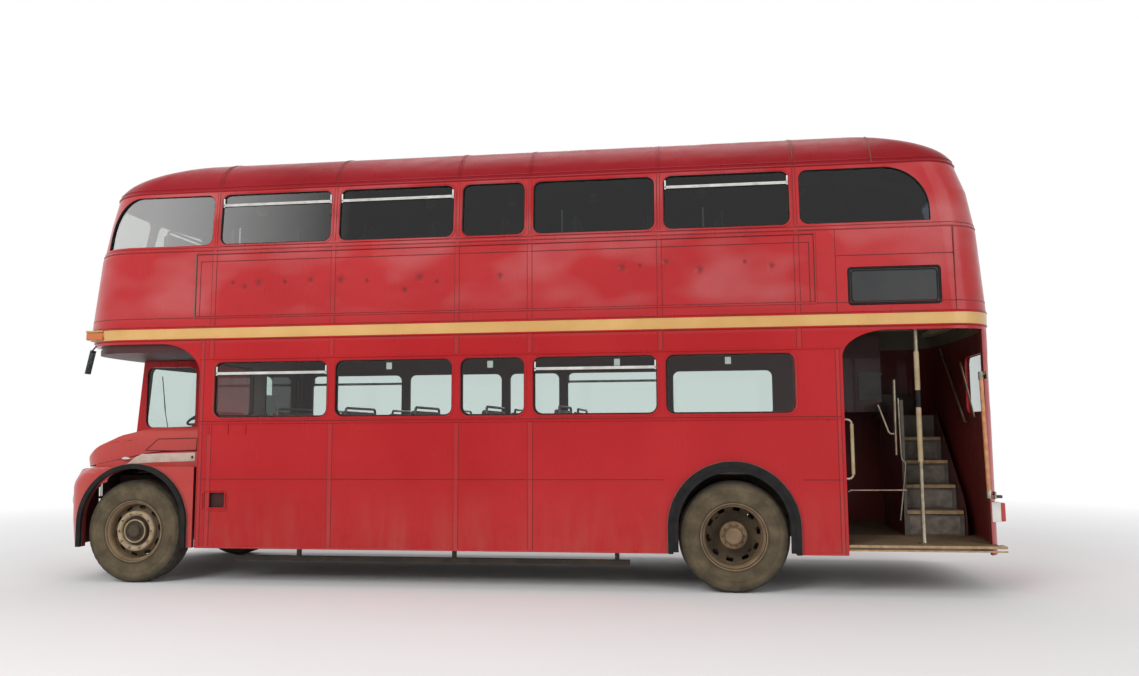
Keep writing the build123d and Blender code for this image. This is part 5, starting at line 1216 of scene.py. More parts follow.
# %% Headlamps, side lamps, indicators and rear lamps
FORWARD = (-1, 0, 0)
bezels, white_glass, amber_boxes, backs, red_boxes, cans, hood = shapes(7)
for side in SIDES:
    at = (nose_x(0.72, 0.80), side * 0.83, 0.80)
    turned(bezels, mm(-50, 121, 0, 120, 10, 117, 13, 110, 8, 103, -2, 101), at, FORWARD)
    turned(white_glass, mm(-4, 102, 4, 98, 10, 80, 14, 50, 15.5, 20, 16, 0), at, FORWARD)
    at = (nose_x(0.80, 1.005) + (0.022 if side < 0 else 0.0), side * 0.83, 1.005)
    turned(bezels, mm(-60, 43, 2, 42, 8, 39, 8, 35, 2, 34), at, FORWARD, 40)
    turned(white_glass, mm(2, 35, 10, 28, 14, 14, 15, 0), at, FORWARD, 40)
bezels.piece("lamp_bezels", chrome)
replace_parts(white_glass.piece("front_lamp_glass", clear_lens), "lamps")

for side in SIDES:
    for shape, y0, y1, z0, z1 in (
        (amber_boxes, 1.075, 1.160, 2.402, 2.484),
        (backs, 0.990, 1.082, 2.396, 2.500),
        (backs, 1.060, 1.165, 2.482, 2.502),
    ):
        shape.block((-4.290, side * y0, z0), (-4.102, side * y1, z1))
    y = side * 1.010
    red_boxes.block((4.488, y - 0.030, 0.642), (4.530, y + 0.030, 0.806))
    cans.block((lower_rear_x(y) - 0.030, y - 0.034, 0.637), (4.490, y + 0.034, 0.811))
hood.block((4.462, -1.036, 0.845), (4.512, -0.984, 0.872))
amber_boxes.piece("indicator_glass", amber, bevel=0.014, bevel_steps=3)
backs.piece("indicator_backs", brass, bevel=0.005)
red_boxes.piece("rear_lamp_glass", red_lens, bevel=0.008)
cans.piece("rear_lamp_cans", plate_white, bevel=0.004)
hood.piece("rear_lamp_hood", black_paint, bevel=0.006)
print("lamps at", round(nose_x(0.72, 0.80), 3))

# %% [markdown]
# ## A rounder nose
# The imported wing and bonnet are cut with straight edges. On the real bus they are beaten
# panels that roll over at the front. Each is swapped for a denser copy of itself whose points
# are moved: the wing's top front edge is wrapped round an ellipse, and the bonnet is pressed
# down towards its front. The copy rides on the same body, so the bonnet still opens. A small
# ledge closes the wing below the bonnet's round corner.

# %% Rounded copies of the wing, the front panel and the bonnet
ROLL_X, ROLL_Z, WING_TOP = 0.30, 0.22, 1.13
# y, share of the rolling
ROLL_SHARE = [(-1.05, 1.0), (-0.90, 0.45), (-0.65, 0.45), (-0.45, 0.0)]
# x, share of the bonnet's height that is kept
BONNET_SQUASH = [(-4.500, 0.40), (-4.430, 0.43), (-4.270, 0.69), (-4.000, 0.90), (-3.750, 0.98), (-3.500, 1.0)]
BONNET_BASE, RIM_TOP, RIM_FADE = 1.14, 1.34, 0.18
MOST_FACES = 30000


def rolled(point, fade):
    """Wraps the square top front corner round an ellipse: not at the grille, in part under the bonnet."""
    front = nose_x(point.y, WING_TOP)
    share = fade * between(ROLL_SHARE, point.y)[0]
    u, v = (front + ROLL_X - point.x) / ROLL_X, (point.z - WING_TOP + ROLL_Z) / ROLL_Z
    if share > 0 and u > 0 and v > 0:
        pull = 1 - share * (1 - max(u, v) / math.hypot(u, v))
        point.x = front + ROLL_X - ROLL_X * u * pull
        point.z = WING_TOP - ROLL_Z + ROLL_Z * v * pull


def rolled_edge(point):
    if point.z <= WING_TOP + 0.002:
        rolled(point, 1.0)


def pressed_down(point):
    """Lowers the bonnet's front, then bends its rim with the wing below it."""
    point.z = BONNET_BASE + (point.z - BONNET_BASE) * between(BONNET_SQUASH, point.x)[0]
    rolled(point, min(max((RIM_TOP - point.z) / RIM_FADE, 0.0), 1.0))


def reshaped(node_name, move, body, finish, longest=0.060):
    """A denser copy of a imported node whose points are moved, riding in its place."""
    mesh = nodes[node_name].data.copy()
    mesh.transform(nodes[node_name].matrix_world)
    work = bmesh.new()
    work.from_mesh(mesh)
    bmesh.ops.remove_doubles(work, verts=work.verts, dist=MERGE)
    for _ in range(6):
        bmesh.ops.triangulate(work, faces=work.faces)
        long_edges = [edge for edge in work.edges if edge.calc_length() > longest]
        if not long_edges or len(work.faces) > MOST_FACES:
            break
        bmesh.ops.subdivide_edges(work, edges=long_edges, cuts=1)
    bmesh.ops.triangulate(work, faces=work.faces)
    for edge in work.edges:
        edge.smooth = not (len(edge.link_faces) == 2 and edge.calc_face_angle(0.0) > math.radians(30))
    for vert in work.verts:
        move(vert.co)
    for face in work.faces:
        face.smooth = True
    fresh = bpy.data.meshes.new(node_name + "_rounded")
    work.to_mesh(fresh)
    work.free()
    bpy.data.meshes.remove(mesh)
    fresh.materials.append(finish)
    obj = add_object(node_name + "_rounded", fresh)
    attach(obj, body)
    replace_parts(obj, node_name)
    print(node_name, "now has", len(fresh.polygons), "faces")


reshaped("front_wing", rolled_edge, "body", paint_nose)
reshaped("front_panel", rolled_edge, "body", paint_lower)
reshaped("bonnet_lid", pressed_down, "bonnet_lid", paint_nose)
ledge = Shape()
ledge_rows = []
for y in steps_between(-0.600, -0.985, 14):
    strip = [(back, WING_TOP - 0.004) for back in steps_between(0.015, 0.305, 14)]
    strip += [(back, z - 0.008) for back, z in reversed(strip)]
    row = [Vector((nose_x(y, WING_TOP) + back, y, z)) for back, z in strip]
    for point in row:
        rolled(point, 1.0)
    ledge_rows.append(row)
ledge.grid(ledge_rows, closed_columns=True, caps=("first", "last"))
ledge.piece("bonnet_corner_ledge", paint_nose)

# %% Wide rubber lips over the rear wheels
ARCH_Z, ARCH_FOOT_Z, LIP_IN, LIP_OUT = 0.585, 0.365, 0.497, 0.560
LIP_SECTION = ((LIP_IN, 1.2050), (LIP_OUT, 1.2050), (LIP_OUT, 1.2150), (LIP_IN, 1.2100))
spine = [(math.cos(t), math.sin(t), ARCH_Z) for t in steps_between(0, math.pi, 40)]
spine = [(1.0, 0.0, ARCH_FOOT_Z)] + spine + [(-1.0, 0.0, ARCH_FOOT_Z)]
lips, pale_edges = shapes(2)


def arch(x, r, y):
    """Points over a wheel arch, up one side and down the other."""
    return [(x + c * r, y, z + s * r) for c, s, z in spine]


for side in SIDES:
    lips.grid([arch(REAR_AXLE_X, r, side * y) for r, y in LIP_SECTION], closed_rows=True)
    pale_edges.tube(arch(FRONT_AXLE_X, 0.578, side * 1.1875), 0.0035, 6)
    pale_edges.tube(arch(REAR_AXLE_X, 0.593, side * 1.1875), 0.0035, 6)
lips.piece("rear_arch_lips", black_rubber)
pale_edges.piece("arch_edge_lines", dusty_edge)

# %% [markdown]
# ## Panes of the cab door and the emergency window
# These two windows move, so their glass can't belong to the fixed panes. Each pane is a thin
# sheet that rides on its own moving body.

# %% Moving panes
door_pane, rear_panes = shapes(2)
door_path = rounded_path(-3.913, -3.413, 1.520, 2.160, PANE_R)
door_pane.prism([(x, 1.203, z) for x, z in door_path], [(x, 1.207, z) for x, z in door_path])
door_pane.piece("cab_door_pane", glass_lower, "cab_door")
for (y0, y1), deep in itertools.product(((-0.590, -0.028), (0.028, 0.590)), (0.020, 0.024)):
    place = on_end(rear_x, -deep)
    rear_panes.grid([[place(y, z) for y in steps_between(y0, y1, 6)] for z in steps_between(3.340, 3.842, 6)])
rear_panes.piece("emergency_window_panes", glass_upper, "emergency_window")

# %% [markdown]
# ## Mirrors, wiper and small fittings on the front
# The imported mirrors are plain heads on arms. In their place go thin leaves on a ball joint,
# turned so that the driver could see back along the bus.
# The bonnet side carries a small oval lamp, and a pale strip runs along the top of the wing.

# %% Mirrors
# centre, turn in degrees, lean and the foot of the arm
MIRRORS = (
    ((-4.248, -1.120, 2.182), 14, 0.22, (-4.200, -1.110, 2.350)),
    ((-4.190, 1.172, 1.875), -24, 0.0, (-4.260, 1.120, 1.980)),
)
glass_plates, casings = shapes(2)
# half width, half height, rear face, front face
LEAVES = ((casings, 0.060, 0.122, -0.010, 0.004), (glass_plates, 0.055, 0.116, 0.003, 0.006))
for centre, turn, lean, foot in MIRRORS:
    centre, turn = Vector(centre), math.radians(turn)
    facing, along = Vector((math.cos(turn), math.sin(turn), 0)), Vector((-math.sin(turn), math.cos(turn), 0))
    upward = Vector((lean, 0, 1)).normalized()
    for shape, half_w, half_h, d0, d1 in LEAVES:
        corners = itertools.product((-half_w, half_w), (d0, d1), (-half_h, half_h))
        shape.solid([centre + along * a + facing * d + upward * rise for a, d, rise in corners], BOX_FACES)
    neck = centre + upward * 0.070
    ball = neck - facing * 0.020
    bend = ball.lerp(Vector(foot), 0.55) - facing * 0.010
    casings.tube([neck - facing * 0.006, ball, bend, foot], 0.0075, 10)
    turned(casings, mm(-14, 0, -12, 12, 0, 15.5, 12, 12, 14, 0), ball, UP, 16)
glass_plates.piece("mirror_glass", mirror_dark, bevel=0.001)
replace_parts(casings.piece("mirror_heads", black_paint, bevel=0.003), "mirrors")

# %% Wing strip, side lamp, wiper, catches and foot recess
STRIP_OUTLINE = mm(-3900, 1150, -3829, 1208, -3746, 1252, -3163, 1266, -3159, 1180, -3600, 1168)
# distance out, share of the lamp's oval
OVAL_PROFILE = ((0.0, 1.1), (0.012, 1.05), (0.020, 0.85), (0.024, 0.45), (0.025, 0.0))
wing_strip, fixing, oval, wiper, catches, recess, hollow, blank_badge = shapes(8)
wing_strip.prism([(x, -0.9785, z) for x, z in STRIP_OUTLINE], [(x, -0.972, z) for x, z in STRIP_OUTLINE])
wing_strip.piece("wing_top_strip", pale_strip, bevel=0.002)
turned(fixing, mm(0, 13, 3, 12, 3, 0), (-3.191, -0.9785, 1.220), (0, -1, 0), 20)
fixing.piece("wing_strip_hole", black_rubber)
rows = []
for c, s in circle(32):
    rows.append([(-3.907 + a * 0.045 * c, -0.975 - out, 1.206 + a * 0.020 * s) for out, a in OVAL_PROFILE])
oval.grid(rows, closed_rows=True)
oval.piece("bonnet_side_lamp", chrome, "bonnet_lid")

pivot = (nose_x(0.55, 1.52) - 0.014, 0.55, 1.500)
tip = (nose_x(0.38, 1.98) - 0.012, 0.38, 1.98)
turned(wiper, mm(-20, 18, 16, 16, 20, 10, 20, 0), pivot, FORWARD, 20)
wiper.tube([pivot, ((pivot[0] + tip[0]) / 2 - 0.014, 0.465, 1.74), tip], 0.005, 6)
wiper.tube([(nose_x(0.45, 1.74) - 0.010, 0.455, 1.72), (nose_x(0.32, 2.12) - 0.008, 0.330, 2.12)], 0.006, 6)
wiper.piece("cab_wiper", black_paint)

for x, z in ((-2.911, 1.497), (-2.713, 1.497), (-2.530, 1.494)):
    catches.block((x - 0.011, -1.1925, z - 0.045), (x + 0.011, -1.184, z + 0.045))
    catches.block((x - 0.016, -1.1895, z - 0.054), (x + 0.016, -1.184, z - 0.040))
    dome(catches, (x, -1.1905, z), (0, -1, 0), 0.005, 0.002)
catches.piece("side_catches", paint_lower, bevel=0.002)
x0, x1 = BULKHEAD_X + 0.100, BULKHEAD_X + 0.297
recess.loop(rounded_path(x0 - 0.012, x1 + 0.012, 0.728, 0.897, 0.015), by_side(-1, 0.001), 0.005)
recess.loop(rounded_path(x0 - 0.028, x1 + 0.028, 0.705, 0.885, 0.02), by_side(-1, 0.001), 0.004)
recess.piece("foot_recess_rim", paint_lower)
# the foot recess is lined near black: painted shade inside the hollow
path = rounded_path(x0 + 0.001, x1 - 0.001, 0.741, 0.884, 0.012)
hollow.grid([[(x, y, z) for x, z in path] for y in (-1.1845, -1.1570)], closed_columns=True, caps=("last",))
hollow.piece("foot_recess_lining", recess_painted_shade)
outline = [(x, -0.9755, z) for x, z in mm(-3703, 1289, -3567, 1403, -3146, 1410, -3153, 1281)]
for start, end in zip(outline, outline[1:] + outline[:1]):
    blank_badge.tube([start, end], 0.0045, 6)
blank_badge.piece("bonnet_side_blank_panel", seam_dark, "bonnet_lid")
print("fittings placed")

# %% [markdown]
# ## Hand rails
# Rails are tubes: bright metal where the hand has worn them, with a cream grip sleeved over
# the part that is held. The pole stands on a round foot. The rail at the rear corner is copper
# brown between two bright brackets. Thinner rails climb beside the stairs.

# %% Poles, grab rails and ceiling rails
bare, grips, dark_gap, copper_bar = shapes(4)
POLE = (3.832, -1.03, 0)
# what each part of the pole is made of, and its profile as (height, radius)
POLE_PARTS = (
    (bare, mm(440, 48, 447, 48, 452, 42, 455, 24, 475, 19, 1172, 18)),
    (bare, mm(2152, 18, 2300, 18, 2440, 20, 2456, 34, 2470, 40, 2480, 40)),
    (grips, mm(1165, 18, 1168, 22.5, 1650, 22.5, 1654, 18)),
    (grips, mm(1807, 18, 1811, 22.5, 2155, 22.5, 2160, 18)),
    (dark_gap, mm(1650, 18.5, 1715, 19.5, 1730, 21.5, 1745, 19.5, 1811, 18.5)),
)
for shape, levels in POLE_PARTS:
    turned(shape, levels, POLE, UP, 24)

bend = mm(3150, 1022, 3176, 1020, 3200, 1026, 3216, 1044, 3221, 1080)
bare.tube([(x, -1.160, z) for x, z in bend], 0.011, 12)
bare.tube([(x, -1.160, 2.568 - z) for x, z in bend], 0.011, 12)
grips.tube([(3.221, -1.160, 1.060), (3.221, -1.160, 1.508)], 0.0155, 16)

rear_low, rear_high = Vector((4.379, -1.100, 0.878)), Vector((4.360, -1.100, 1.934))
copper_bar.tube([rear_low, rear_low.lerp(rear_high, 0.5), rear_high], 0.0175, 16)
copper_bar.piece("rear_corner_rail", copper)
for end, way in ((rear_low, 1), (rear_high, -1)):
    turned(bare, mm(-30, 19, -28, 22.5, 35, 22.5, 45, 18), end, (0, 0, way), 24)
    steps = ((0, 0, 0.01 * way), (0.030, 0.004, -0.012 * way), (0.055, 0.010, -0.014 * way))
    bare.tube([end + Vector(step) for step in steps], 0.012, 12)
    bare.block(end + Vector((0.040, -0.030, -0.034)), end + Vector((0.052, 0.040, 0.030)))

CEILING_RAIL_Z = 2.390
for y in (-0.33, 0.33):
    bare.tube([(BULKHEAD_X + 0.050, y, CEILING_RAIL_Z), (3.157, y, CEILING_RAIL_Z)], 0.0145, 12)
    for i in range(5):
        x = BULKHEAD_X + 0.600 + i * 1.200
        bare.tube([(x, y, CEILING_RAIL_Z), (x, y, 2.476)], 0.009, 10)
        turned(bare, mm(0, 28, -10, 26, -14, 12), (x, y, 2.478), UP, 20)
# radius, sides and path of the rails by the stairs
STAIR_RAILS = (
    (0.0125, 12, mm(3760, -372, 1207, 3766, -372, 1937, per=3)),
    (0.009, 10, mm(3798, -372, 1757, 3802, -372, 1450, 3806, -372, 1200, 3812, -372, 1165, 3843, -372, 1126,
                   3828, -372, 980, 3774, -372, 584, per=3)),
    (0.012, 12, mm(3607, -360, 1694, 3640, -360, 1600, 3698, -360, 1430, 3715, -360, 1412, 3760, -360, 1410, per=3)),
    (0.008, 10, mm(3252, -650, 873, 3275, -650, 886, 3790, -620, 886, 3812, -560, 886, per=3)),
    (0.011, 12, mm(4440, 516, 2312, 4440, -240, 1545, 4438, -262, 1527, 4446, -295, 1523, per=3)),
    (0.009, 10, mm(4440, -191, 2117, 4440, -560, 1585, 4438, -578, 1566, 4446, -605, 1560, per=3)),
)
for radius, sides, path in STAIR_RAILS:
    bare.tube(path, radius, sides)
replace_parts(bare.piece("bright_rails", dull_metal), "handrails")
grips.piece("rail_grips", cream_grip)
dark_gap.piece("pole_dark_collar", black_rubber)
print("rails", len(bare.faces), "faces")

# %% [markdown]
# ## Platform and stairs
# The platform floor is boarded and edged with pale wood strips. Every stair has a wooden
# nosing over a grey riser plate. Red panels close the stairs' sides, and a blank pale board
# hangs on one of them.

# %% Slats, edge strips, nosings and panels
FLOOR_Z = 0.440
STAIR_X, STAIR_Y, RISE, GOING = (3.837, 4.367), -0.350, 0.23222, 0.240
# the stair string's outline as (y, z)
STRING = mm(-430, 442, -430, 560, -392, 700, -310, 830, 610, 1720, 610, 1300, -100, 600, -150, 442)
edge_strips, slats, nosings, risers, treads, panels, notice = shapes(7)
edge_strips.block((3.160, -1.186, 0.420), (4.487, -1.150, 0.4415))
edge_strips.block((3.160, -1.186, 0.390), (4.487, -1.180, 0.404))
edge_strips.block((4.460, -1.150, 0.424), (4.4905, -1.060, 0.4415))
edge_strips.piece("platform_edge_strips", pale_wood, bevel=0.003)
for i in range(17):
    y = -1.135 + i * 0.046
    slats.block((3.170, y, 0.438), (4.420 if y > -0.98 else 4.44, y + 0.026, 0.4445))
slats.piece("platform_slats", nosing_brown, bevel=0.0015, bevel_steps=1)

for i in range(4):
    y, z = STAIR_Y + i * GOING, FLOOR_Z + i * RISE
    top = z + RISE
    nosings.block((STAIR_X[0] + 0.006, y - 0.016, top - 0.030), (STAIR_X[1] - 0.004, y + 0.034, top + 0.004))
    risers.block((STAIR_X[0] + 0.030, y - 0.004, z + 0.012), (STAIR_X[1] - 0.040, y + 0.002, top - 0.052))
    for k in range(5):
        rib_y = y + 0.050 + k * 0.036
        treads.block((STAIR_X[0] + 0.012, rib_y, top - 0.002), (STAIR_X[1] - 0.012, rib_y + 0.018, top + 0.003))
for k in range(2):
    x, top = STAIR_X[0] - k * GOING, FLOOR_Z + (7 + k) * RISE
    nosings.block((x - 0.034, 0.620, top - 0.030), (x + 0.014, 1.125, top + 0.004))
nosings.piece("stair_nosings", pale_wood, bevel=0.004)
risers.piece("stair_riser_plates", riser_grey, bevel=0.002)
treads.piece("stair_tread_ribs", stair_grey, bevel=0.001, bevel_steps=1)

panels.prism([(4.3695, y, z) for y, z in STRING], [(4.3775, y, z) for y, z in STRING])
panels.block((3.330, 0.598, 1.640), (3.838, 0.606, 2.478))
panels.block((3.8135, -0.352, 0.442), (3.8165, 0.600, 1.700))
panels.piece("stair_side_panels", red_panel, bevel=0.003)
notice.block((3.592, 0.589, 1.770), (3.832, 0.598, 2.075))
notice.piece("blank_notice_board", pale_notice, bevel=0.003)
print("stairs dressed,", len(nosings.faces) // 6, "nosings")

# %% [markdown]
# ## Seat cushions
# A sprung cushion is a closed form: its top is crowned, its sides pull in between the corners,
# and it is flat only where it rests on the frame. Each one is a squared-off ball whose plan, edge
# and crown are set by powers, with a sewn cord round its widest line and a shallow valley between
# the two places. Every seat of the same kind then shares that mesh, so 28 seats cost little.

# %% A helper for sewn cushions
PLAN_POWER, EDGE_POWER, CROWN_POWER = 0.22, 0.42, 0.62


def cushion_mesh(name, size, crown, places=2, around=56, up=13):
    """A cushion centred on the origin: size is (across X, across Y, thickness Z), crowned on +Z."""
    sx, sy, sz = (s / 2 for s in size)
    shape = Shape()

    def outline(c, s, scale):
        px, py = signed_power(c, PLAN_POWER), signed_power(s, PLAN_POWER)
        pull = 1 - 0.030 * min(1.0, abs(abs(px) - abs(py)) * 1.6)
        return px * pull * scale, py * pull * scale

    rows = []
    for a in steps_between(-math.pi / 2, math.pi / 2, up):
        height = signed_power(math.sin(a), CROWN_POWER)
        row = []
        for c, s in circle(around):
            px, py = outline(c, s, abs(math.cos(a)) ** EDGE_POWER)
            z = height * sz * (1.0 if height > 0 else 0.92)
            if height > 0:
                lobes = 0.72 + 0.28 * abs(math.sin(math.pi * py)) if places == 2 else 1.0
                z += crown * height * (1 - px**4) * (1 - py**6) * lobes
            row.append((px * sx, py * sy, z))
        rows.append(row)
    shape.grid(rows, closed_columns=True)
    body_faces = len(shape.faces)
    widest = [outline(c, s, 1.004) for c, s in circle(around)]
    shape.tube([(px * sx, py * sy, sz * 0.42) for px, py in widest], 0.0045, 6, closed=True)
    mesh = bpy.data.meshes.new(name)
    mesh.from_pydata(shape.verts, [], shape.faces)
    mesh.materials.append(seat_cloth)
    mesh.materials.append(piping)
    for face in mesh.polygons:
        face.use_smooth = True
        face.material_index = 0 if face.index < body_faces else 1
    return mesh


def cushion(name, mesh, at, turn=(0, 0, 0), body="body"):
    """Places one cushion."""
    obj = add_object(name, mesh)
    obj.location = at
    obj.rotation_euler = turn
    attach(obj, body)
    return obj


SEAT_W, SEAT_D, CUSHION, SEAT_RISE, BACK_TALL, BACK_THICK, PITCH = 0.86, 0.41, 0.11, 0.34, 0.56, 0.07, 0.70
ON_EDGE = (0, math.radians(-90), 0)
seat_pad = cushion_mesh("seat_pad", (SEAT_D - 0.004, SEAT_W - 0.030, CUSHION - 0.030), 0.022)
back_pad = cushion_mesh("back_pad", (BACK_TALL - 0.050, SEAT_W - 0.030, 0.046), 0.016)
print("one seat pad has", len(seat_pad.polygons), "faces")

# %% Double seats of both decks
# deck, back of the first seat, wall, floor, rows on the near side, rows on the off side
DECKS = (("lower", BULKHEAD_X + 0.805, 1.130, 0.700, 5, 5), ("upper", FRONT_X + 1.080, 1.090, 2.530, 10, 8))


def seat_places():
    """Name, back's rear face, side, wall and floor of every double seat."""
    for deck, first_x, wall, floor, near_rows, off_rows in DECKS:
        for row in range(near_rows):
            yield f"{deck}_{row}_near", first_x + PITCH * row, -1, -wall, floor
            if row < off_rows:
                yield f"{deck}_{row}_off", first_x + PITCH * row, 1, wall, floor


seat_frames, seat_pans = shapes(2)
first_pad = {}
for name, x, side, wall, floor in seat_places():
    aisle = wall - side * SEAT_W
    middle = (wall + aisle) / 2
    base = floor + SEAT_RISE
    top = base + CUSHION + BACK_TALL
    pad = cushion(f"pad_{name}", seat_pad, (x - BACK_THICK - SEAT_D / 2, middle, base + CUSHION / 2 - 0.004))
    cushion(f"back_{name}", back_pad, (x - BACK_THICK + 0.018, middle, top - BACK_TALL / 2 - 0.02), ON_EDGE)
    first_pad.setdefault(name.split("_")[0], pad)
    seat_pans.block(
        (x - BACK_THICK - SEAT_D + 0.010, aisle + side * 0.010, base),
        (x - 0.040, wall - side * 0.010, base + 0.020),
    )
    seat_pans.block(
        (x - 0.026, aisle + side * 0.022, base + 0.060),
        (x - 0.006, wall - side * 0.022, top - 0.050),
    )
    hoop = [(aisle + side * 0.015, floor + 0.30)]
    for t in steps_between(0, math.pi / 2, 8):
        hoop.append((aisle + side * (0.055 - 0.040 * math.cos(t)), top - 0.055 + 0.040 * math.sin(t)))
    for in_from_wall, z in ((0.055, top - 0.015), (0.027, top - 0.027), (0.015, top - 0.055), (0.015, base + 0.05)):
        hoop.append((wall - side * in_from_wall, z))
    seat_frames.tube([(x - 0.016, y, z) for y, z in hoop], 0.0125, 10)
    leg_y = aisle + side * 0.075
    for leg_x in (x - 0.400, x - 0.080):
        seat_frames.tube([(leg_x, leg_y, base), (leg_x, leg_y, floor + 0.004)], 0.012, 10)
    seat_frames.tube([(x - 0.400, leg_y, floor + 0.012), (x - 0.080, leg_y, floor + 0.012)], 0.010)
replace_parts(first_pad["upper"], "upper_seats")
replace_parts(first_pad["lower"], "lower_seats")
seat_frames.piece("seat_frames", seat_enamel)
seat_pans.piece("seat_pans_and_backs", seat_shell, bevel=0.006)
print("double seats", len(list(seat_places())))

# %% Long benches over the rear wheels and the driver's seat
BENCH_X, BENCH_Z, BENCH_END = 2.337, 1.080, 3.124
bench_pad = cushion_mesh("bench_pad", (1.560, 0.405, 0.086), 0.022, places=1, around=72)
bench_back = cushion_mesh("bench_back", (1.560, BACK_THICK * 4.6, 0.050), 0.014, places=1, around=72)
bench_frame, stand = shapes(2)
for side, end in ((-1, "near"), (1, "off")):
    wall = side * 1.130
    cushion(f"bench_pad_{end}", bench_pad, (BENCH_X, wall - side * 0.275, BENCH_Z + CUSHION / 2 - 0.006))
    back_at = (BENCH_X, wall - side * 0.034, BENCH_Z + CUSHION + 0.175)
    cushion(f"bench_back_{end}", bench_back, back_at, (side * math.radians(90), 0, 0))
    front = wall - side * 0.480
    bench_frame.block((1.552, front, 1.060), (BENCH_END, front + side * 0.030, 1.100))
    bench_frame.block((2.800, front, 0.702), (BENCH_END, front + side * 0.030, 1.062))
    rail = ((front, 1.18), (front, 1.50), (wall - side * 0.10, 1.53), (wall - side * 0.02, 1.53))
    bench_frame.tube([(BENCH_END, y, z) for y, z in rail], 0.011, 10)
bench_frame.piece("bench_fronts", red_panel, bevel=0.004)
driver_pad = cushion_mesh("driver_pad", (0.380, 0.455, 0.088), 0.020, places=1)
driver_back = cushion_mesh("driver_back", (0.450, 0.455, 0.054), 0.018, places=1)
cushion("driver_seat_pad", driver_pad, (BULKHEAD_X - 0.395, 0.565, 1.366))
cushion("driver_seat_back", driver_back, (BULKHEAD_X - 0.164, 0.565, 1.655), ON_EDGE)
stand.block((BULKHEAD_X - 0.490, 0.440, 1.072), (BULKHEAD_X - 0.250, 0.690, 1.300))
stand.block((BULKHEAD_X - 0.580, 0.350, 1.300), (BULKHEAD_X - 0.150, 0.780, 1.322))
stand.block((BULKHEAD_X - 0.150, 0.350, 1.310), (BULKHEAD_X - 0.132, 0.780, 1.900))
stand.piece("driver_seat_stand", black_paint, bevel=0.008)
print("benches and driver's seat made")

# %% [markdown]
# ## Inside fittings
# The ceiling lamps are pale round glasses, one over each window bay on both sides. Short white
# grab sticks stand on some upper seats. A bell cord runs along the lower ceiling.

# %% Ceiling lamps, grab sticks and bell cord
END_BAYS = [(-3.40, -2.96), (2.95, 3.55)]
CEILINGS = ((0.75, 4.195, -0.060), (0.80, 2.476, -0.030))  # distance out, height, and the lamp's drop
ceiling_lamps, lamp_rims, sticks, bell = shapes(4)
for x0, x1 in BAYS + END_BAYS:
    x = (x0 + x1) / 2 - 0.20
    for side, (y, z, dz) in itertools.product(SIDES, CEILINGS):
        if z > 3 or BULKHEAD_X < x < 3.10:
            glass = [(dz - 0.030, 0.0), (dz - 0.028, 0.025), (dz - 0.018, 0.048), (dz, 0.058)]
            rim = [(dz + 0.002, 0.056), (dz - 0.004, 0.066), (dz + 0.010, 0.070), (0.012, 0.070)]
            turned(ceiling_lamps, glass, (x, side * y, z), UP, 28)
            turned(lamp_rims, rim, (x, side * y, z), UP, 28)
ceiling_lamps.piece("ceiling_lamps", lamp_white)
lamp_rims.piece("ceiling_lamp_rims", cream)
for x, z0, z1 in ((-2.690, 3.32, 3.52), (0.600, 3.32, 3.58), (1.943, 3.32, 3.55)):
    sticks.tube([(x, -1.095, z0), (x, -1.095, z1 - 0.01), (x, -1.085, z1)], 0.0085, 10)
    sticks.tube([(x, -1.095, z0), (x + 0.02, -1.060, z0 - 0.02)], 0.008)
sticks.piece("white_grab_sticks", white_clip)
bell_points = ((BULKHEAD_X + 0.10, 2.462), (-1.0, 2.456), (1.0, 2.456), (3.10, 2.462))
bell.tube([(x, -0.60, z) for x, z in bell_points], 0.003, 6)
bell.piece("bell_cord_line", black_rubber)
print("ceiling lamps", len(ceiling_lamps.faces) // 84)

# %% [markdown]
# ## Ground and light
# The floor is a plain pale plane. Four large soft lamps light the bus from the camera's side, the
# front, above and behind, so the paint shows long soft reflections without hard spots. Far from
# the bus the floor glows by itself, so that it meets the white world without a line.

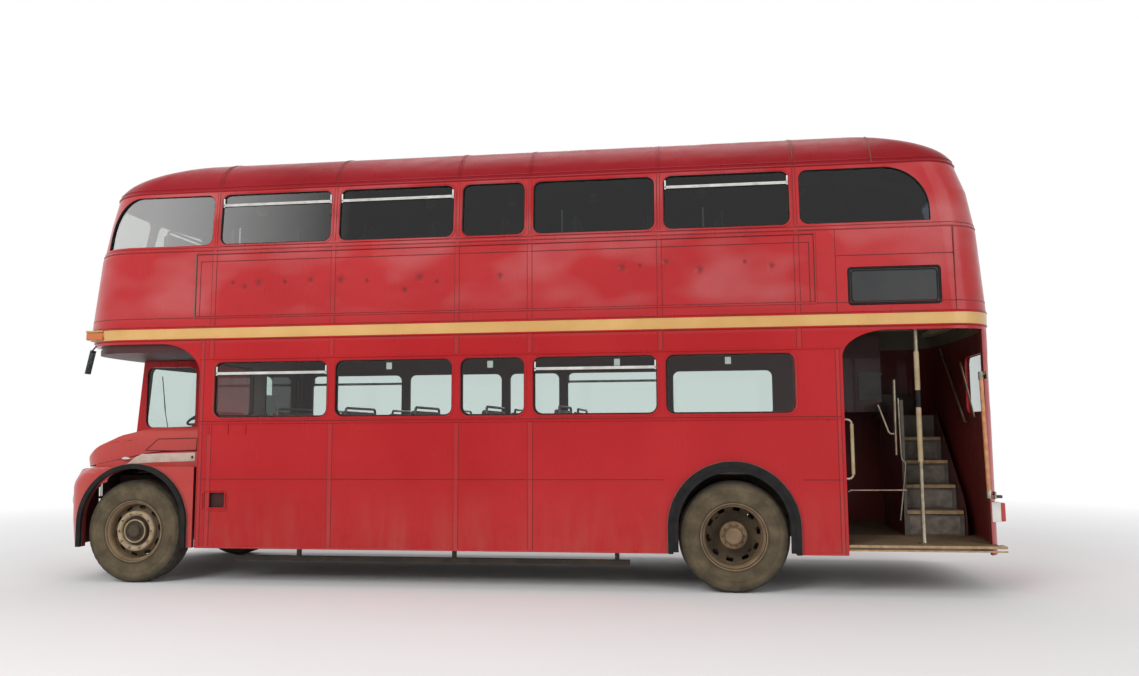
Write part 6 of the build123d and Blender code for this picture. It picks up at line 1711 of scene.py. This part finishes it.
# %% Floor, lamps and world
FLOOR_HALF = 60
# name, place, size, power
LAMPS = (
    ("key", (-7, -15, 11), 9, 1700),
    ("fill", (12, -12, 7), 9, 450),
    ("top", (0, 2, 16), 12, 600),
    ("back", (0, 16, 9), 9, 500),
)


def looked_at(graph):
    """1 where a thing is seen, straight, in a mirror or through glass, and 0 where it only lights others."""
    seen = [graph.node("LightPath", output=f"Is {kind} Ray") for kind in ("Camera", "Glossy", "Transmission")]
    return graph.maths("MAXIMUM", seen[0], graph.maths("MAXIMUM", seen[1], seen[2]))


def studio():
    """A pale floor, four soft lamps and a white world that lights less than it shows."""
    mesh = bpy.data.meshes.new("floor")
    corners = [(x * FLOOR_HALF, y * FLOOR_HALF, 0) for x, y in ((-1, -1), (1, -1), (1, 1), (-1, 1))]
    mesh.from_pydata(corners, [], [(0, 1, 2, 3)])
    ground = new_graph("pale_floor")
    grey = ground.blend(ground.noise(0.6, 4.0), (0.80, 0.80, 0.80), (0.84, 0.84, 0.84))
    ground.paint(Base_Color=grey, Roughness=0.9)
    far = ground.ramp(ground.vector("LENGTH", ground.where(), output="Value"), 6.5, 13.0)
    glow = ground.times(looked_at(ground), far)
    ground.mix_shaders(glow, ground.find("BSDF_PRINCIPLED").outputs[0], ground.node("Emission"))
    mesh.materials.append(ground.owner)
    obj = add_object("floor", mesh)
    for name, at, size, power in LAMPS:
        lamp = bpy.data.lights.new(name, "AREA")
        lamp.size = size
        lamp.energy = power
        lamp_object = add_object(name, lamp)
        lamp_object.location = at
        lamp_object.rotation_euler = (Vector((0, 0, 2)) - Vector(at)).to_track_quat("-Z", "Y").to_euler()
        lamp_object.visible_glossy = name != "key"
    sky = Graph(bpy.data.worlds.new("studio"))
    strength = sky.ramp(looked_at(sky), 0.0, 1.0, 0.50, 1.0)
    sky.put(sky.find("BACKGROUND"), {"Color": (1.0, 1.0, 1.0), "Strength": strength})
    bpy.context.scene.world = sky.owner


studio()
bpy.context.scene.view_settings.view_transform = "Standard"
